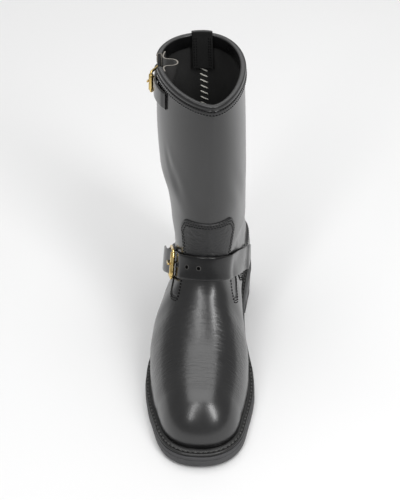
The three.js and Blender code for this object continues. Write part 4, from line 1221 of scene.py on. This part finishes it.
def makeBuckle(name, strap, node):
    stack, buckle = buckleStack(strap), buckleFrame(strap)
    half = strap["width"] / 2 + strap["sideRoom"] + strap["wire"]
    corner = strap["corner"]
    points = []
    for atNose, side in ((0, -1), (1, -1), (1, 1), (0, 1)):
        turns = np.linspace(0, 90, 8)
        if side * (1 if atNose else -1) < 0:
            turns = turns[::-1]
        for degrees in np.radians(turns):
            inward = -1 if atNose else 1
            run = atNose * buckle["length"] + inward * corner * (1 - math.cos(degrees))
            wide = side * (half - corner * (1 - math.sin(degrees)))
            level = mix(stack["bar"], stack["roller"], run / buckle["length"])
            points.append(buckle["at"](run, level, wide))
    dense = []
    for i, point in enumerate(points):
        following = points[(i + 1) % len(points)]
        gap = np.linalg.norm(following - point)
        for part in np.linspace(0, 1, max(1, int(gap / 2.5)), endpoint=False):
            dense.append(mix(point, following, part))
    frameBody = wireBody(dense, strap["wire"], 20, True)
    meshPiece(name + "Frame", *frameBody, brass, "brass", [node + "_frame"], 60)
    # the roller: a thin rolled tube with a butt joint and softened ends
    reach = strap["width"] / 2 + strap["sideRoom"] + strap["wire"] - corner - strap["clearance"]
    outer, inner = stack["rollerRadius"], strap["wire"] + strap["clearance"]
    section = [(-reach, outer - 0.25), (-reach + 0.25, outer), (-reach * 0.5, outer + 0.02),
               (0, outer + 0.02), (reach * 0.5, outer + 0.02), (reach - 0.25, outer),
               (reach, outer - 0.25), (reach, inner), (-reach, inner)]
    joint = np.radians(20)
    turns = np.linspace(joint, joint + 2 * np.pi - 0.09, 40)
    rings = []
    for turn in turns:
        ring = [buckle["at"](buckle["length"] + r * math.cos(turn), stack["roller"] + r * math.sin(turn), w)
                for w, r in section]
        rings.append(ring)
    count, size = len(rings), len(section)
    points = np.array(rings).reshape(-1, 3)
    faces = bandFaces(count, size, False)
    meshPiece(name + "Roller", points, turnedOut(points, faces), brass, "brass", [node + "_roller"], 60)
    # the prong: hooked round the rear bar, its tip on the roller
    hook = strap["wire"] + strap["clearance"] + strap["prong"]
    tip = stack["roller"] + stack["rollerRadius"] + strap["clearance"] + strap["prong"]
    spine = [buckle["at"](hook * math.cos(t), stack["bar"] + hook * math.sin(t))
             for t in np.radians(np.linspace(250, 90, 16))]
    for s in np.linspace(0.12, 1, 16):
        h = mix(stack["bar"] + hook, tip, float(ease(0, 1, s)) * 0.55 + 0.45 * s)
        spine.append(buckle["at"](buckle["length"] * s, h))
    spine.append(buckle["at"](buckle["length"] + 1.2, tip - 0.25))
    spine.append(buckle["at"](buckle["length"] + 1.8, tip - 0.5))
    radii = np.concatenate([np.full(len(spine) - 4, strap["prong"]), [strap["prong"] * 0.95] * 2,
                            [strap["prong"] * 0.8, strap["prong"] * 0.4]])
    meshPiece(name + "Prong", *wireBody(spine, radii, 14), brass, "brass", [node + "_prong"], 60)


makeBuckle("instepBuckle", instep, "instep")
makeBuckle("topBuckle", top, "top")
print("buckles done")


# Punched holes along the front of the instep strap: a raised rim round a flat matte black disc, painted
# shade standing in for the open hole.
holes = {"angles": [-19, -9.3, -0.8], "radius": 1.8, "shift": 0.8}


def makeHoles():
    bodies = []
    stack = buckleStack(instep)
    for degrees in holes["angles"]:
        spot = strapFrame(instep, degrees)
        high = stack["under"] + liftOver(instep, degrees) + instep["thick"] / 2
        centre = spot["point"] + spot["normal"] * high + spot["across"] * holes["shift"]
        turn = np.linspace(0, 2 * np.pi, 24, endpoint=False)
        around = (np.cos(turn)[:, None] * spot["along"] + np.sin(turn)[:, None] * spot["across"])
        rows = [(1.4, -0.1), (1.25, 0.12), (1.08, 0.18), (0.98, 0.1), (0.5, 0.1), (0.02, 0.1)]
        rings = np.array([centre + around * holes["radius"] * r + spot["normal"] * h for r, h in rows])
        count, size = rings.shape[:2]
        bodies.append((rings.reshape(-1, 3), bandFaces(count, size, False)))
    points, faces = joined(bodies)
    piece = meshPiece("strapHoles", points, faces, strapEdge, "strap_leather")
    row = np.arange(len(faces)) // size % (count - 1)
    # the discs inside the rims get painted shade, a flat black instead of an opening
    paintFaces(piece, paintedHoleShade, row >= 2)


makeHoles()


# Layers of the sole: loops of the outline at each level, closed over the middle.
soleCut = {"points": 520, "outsole": 8.5, "midsole": 4.0, "gap": 0.3}


def loopLayer(levels, count=None):
    count = count or soleCut["points"]
    shares = np.arange(count) / count
    rings = []
    for inset, height in levels:
        loop = outlineLoop(inset)(shares)
        rings.append(np.stack([loop[:, 0], loop[:, 1], height(loop[:, 1], inset)], -1))
    rings = np.array(rings)
    faces = [bandFaces(len(levels), count, False)]
    j = np.arange(1, count // 2)
    for base, turned in ((0, False), ((len(levels) - 1) * count, True)):
        k = j[:-1]
        across, following = base + (count - k) % count, base + (count - k - 1) % count
        strip = np.stack([base + k, base + k + 1, following, across], -1)
        faces.append(strip[:, ::-1] if turned else strip)
    points = rings.reshape(-1, 3)
    return points, turnedOut(points, np.vstack(faces))


def over(rise):
    return lambda y, inset: treadHeight(y) + rise


def makeSole():
    s = soleCut
    topFace = s["outsole"] - s["gap"]
    levels = [(19, over(0.0)), (9, over(0.0)), (3.2, over(0.0)), (1.2, over(0.05)), (0.45, over(0.45)),
              (0.05, over(1.4)), (0, over(3.5)), (0, over(6.5)), (0, over(topFace - 0.06)),
              (0.06, over(topFace)), (9, over(topFace)), (19, over(topFace))]
    meshPiece("outsoleLayer", *loopLayer(levels), outsoleRubber, "sole_rubber", ["outsole"], 45)
    low = s["outsole"]
    high = low + s["midsole"] - s["gap"]
    levels = [(19, over(low)), (1.0, over(low)), (0.3, over(low)), (0.2, over(low + 0.06)),
              (0.2, over(high - 0.5)), (0.4, over(high - 0.15)), (0.8, over(high)), (19, over(high))]
    meshPiece("midsoleLayer", *loopLayer(levels), midsoleRubber, "midsole_rubber", ["midsole"], 45)


makeSole()
welt = {"low": 12.8, "high": 15.5, "inside": 15.6, "stitchInset": 3.1, "pitch": 5.0}


def makeWelt():
    count = 640
    shares = np.arange(count) / count
    mid = (welt["low"] + welt["high"]) / 2
    profile = [(welt["inside"], welt["low"]), (1.4, welt["low"]), (0.95, welt["low"] + 0.35), (0.8, mid),
               (0.95, welt["high"] - 0.4), (1.35, welt["high"] - 0.05), (2.2, welt["high"]),
               (2.5, welt["high"] - 0.25), (3.1, welt["high"] - 0.45), (3.7, welt["high"] - 0.25),
               (4.0, welt["high"]), (9, welt["high"]), (welt["inside"], welt["high"])]
    rings = []
    for inset, rise in profile:
        loop = outlineLoop(inset)(shares)
        rings.append(np.stack([loop[:, 0], loop[:, 1], treadHeight(loop[:, 1]) + rise], -1))
    rings = np.array(rings).transpose(1, 0, 2)
    points, faces = ringBody(rings, True)
    meshPiece("weltStrip", points, faces, weltLeather, "welt_leather", ["welt"], 50)
    loop = outlineLoop(welt["stitchInset"])(np.linspace(0, 1, 1400))
    path = np.stack([loop[:, 0], loop[:, 1], treadHeight(loop[:, 1]) + welt["high"] - 0.15], -1)
    normals = np.tile([0.0, 0, 1], (len(path), 1))
    meshPiece("weltStitches", *threadRow(path, normals, welt["pitch"], 3.8, 1.0), weltThread, "welt_leather")


makeWelt()


def makeInsole():
    low, step, high = 12.8, 15.95, 18.95
    levels = [(19, over(low)), (16.8, over(low)), (16.8, over(step)), (9.75, over(step)),
              (9.75, over(high - 0.5)), (10.4, over(high)), (19, over(high))]
    meshPiece("insoleBoard", *loopLayer(levels, 360), insoleLeather, "insole_leather", ["insole"], 40)


makeInsole()
heel = {"breast": 0.75 * last["length"] + 2.5, "lift": 7.0, "seat": 30.7, "layers": 4}


# The heel's outline: round the back and straight across the breast.
def heelLoop(inset, count=200):
    breastY = toeY + heel["breast"] + max(0.0, inset - 1) * 0.3
    end = last["behindOrigin"] - inset
    turn = 0.5 - 0.5 * np.cos(np.pi * np.linspace(0, 1, count))
    y = mix(breastY, end, turn)
    right = np.stack([outlineX(1, y, inset), y], -1)
    left = np.stack([outlineX(-1, y, inset), y], -1)[::-1]
    return np.vstack([right, left[1:]])


def heelBody(levels):
    rings = []
    for inset, height in levels:
        loop = heelLoop(inset)
        rings.append(np.column_stack([loop, np.full(len(loop), height)]))
    count, size = len(rings), len(rings[0])
    points = np.array(rings).reshape(-1, 3)
    faces = [bandFaces(count, size, False)]
    for base, turned in ((0, False), ((count - 1) * size, True)):
        k = np.arange(size // 2)
        strip = np.stack([base + k, base + k + 1, base + size - 2 - k, base + size - 1 - k], -1)
        faces.append(strip[:-1][:, ::-1] if turned else strip[:-1])
    return points, turnedOut(points, np.vstack(faces))


def makeHeel():
    lift = [(2.9, 0.0), (2.5, 0.35), (2.45, 1.0), (2.25, heel["lift"] - 0.5), (2.5, heel["lift"])]
    meshPiece("topLift", *heelBody(lift), liftRubber, "lift_rubber", ["top_lift"], 45)
    levels = [(2.5, heel["lift"] + 0.3)]
    steps = np.linspace(heel["lift"] + 0.3, heel["seat"], heel["layers"] + 1)
    for a, b in zip(steps[:-1], steps[1:]):
        inset = [mix(2.2, 0.6, (z - 7.3) / 23.4) for z in (a, b)]
        levels += [(inset[0], a + 0.35), (inset[1], b - 0.3), (inset[1] + 0.3, b)]
    meshPiece("heelStack", *heelBody(levels), heelStack, "heel_stack", ["heel"], 45)


makeHeel()
print("sole done")

# Studio: pale floor, soft light from above and both sides.
studio = {"floor": (0.86, 0.86, 0.86), "world": 0.36, "floorSize": 9.0}


def makeStudio():
    bpy.ops.mesh.primitive_plane_add(size=studio["floorSize"], location=(0, 1.5, -0.0002))
    floor = bpy.context.object
    floor.name = "studioFloor"
    f = Finish("studioFloor")
    soft = f.noise(2.0, 2.0)
    color = f.tint(soft.clamped(0.2, 0.8), (0.84, 0.84, 0.84), studio["floor"])
    floor.data.materials.append(f.finish(color=color, roughness=0.8))
    world = bpy.data.worlds.new("studioWorld")
    bpy.context.scene.world = world
    world.use_nodes = True
    back = world.node_tree.nodes["Background"]
    back.inputs["Color"].default_value = (1, 1, 1, 1)
    back.inputs["Strength"].default_value = studio["world"]
    bpy.context.scene.view_settings.view_transform = "Standard"


lights = [
    {"name": "leftStrip", "at": (-0.5, -1.25, 1.7), "size": (0.26, 1.5), "power": 9},
    {"name": "rightStrip", "at": (1.05, -1.2, 1.65), "size": (0.46, 1.5), "power": 19},
    {"name": "topSoftbox", "at": (0, 0.15, 2.0), "size": (1.8, 1.5), "power": 18},
    {"name": "backSoftbox", "at": (0, 1.6, 1.5), "size": (1.5, 0.7), "power": 4},
]
lightAim = (0, -0.1, 0.1)


def makeLights():
    for light in lights:
        data = bpy.data.lights.new(light["name"], "AREA")
        data.shape = "RECTANGLE"
        data.size, data.size_y = light["size"]
        data.energy = light["power"]
        lamp = bpy.data.objects.new(light["name"], data)
        bpy.context.scene.collection.objects.link(lamp)
        lamp.location = light["at"]
        toward = Vector(lightAim) - Vector(light["at"])
        lamp.rotation_euler = toward.to_track_quat("-Z", "Y").to_euler()


makeStudio()
makeLights()

view = {"at": (0.1073, -1.2096, 1.0299), "yaw": -5.8415, "pitch": 38.6845, "roll": -2.4542, "lens": 103.33}


def makeCamera():
    yaw, pitch, roll = (math.radians(view[k]) for k in ("yaw", "pitch", "roll"))
    forward = Vector((math.sin(yaw) * math.cos(pitch), math.cos(yaw) * math.cos(pitch), -math.sin(pitch)))
    right = Vector((math.cos(yaw), -math.sin(yaw), 0))
    up = right.cross(forward)
    right, up = (right * math.cos(roll) + up * math.sin(roll), up * math.cos(roll) - right * math.sin(roll))
    data = bpy.data.cameras.new("photoCamera")
    data.lens = view["lens"]
    data.sensor_width = 36
    data.clip_end = 30
    camera = bpy.data.objects.new("photoCamera", data)
    bpy.context.scene.collection.objects.link(camera)
    turn = Matrix((right, up, -forward)).transposed().to_4x4()
    camera.matrix_world = Matrix.Translation(view["at"]) @ turn
    bpy.context.scene.camera = camera


makeCamera()
print("studio done")
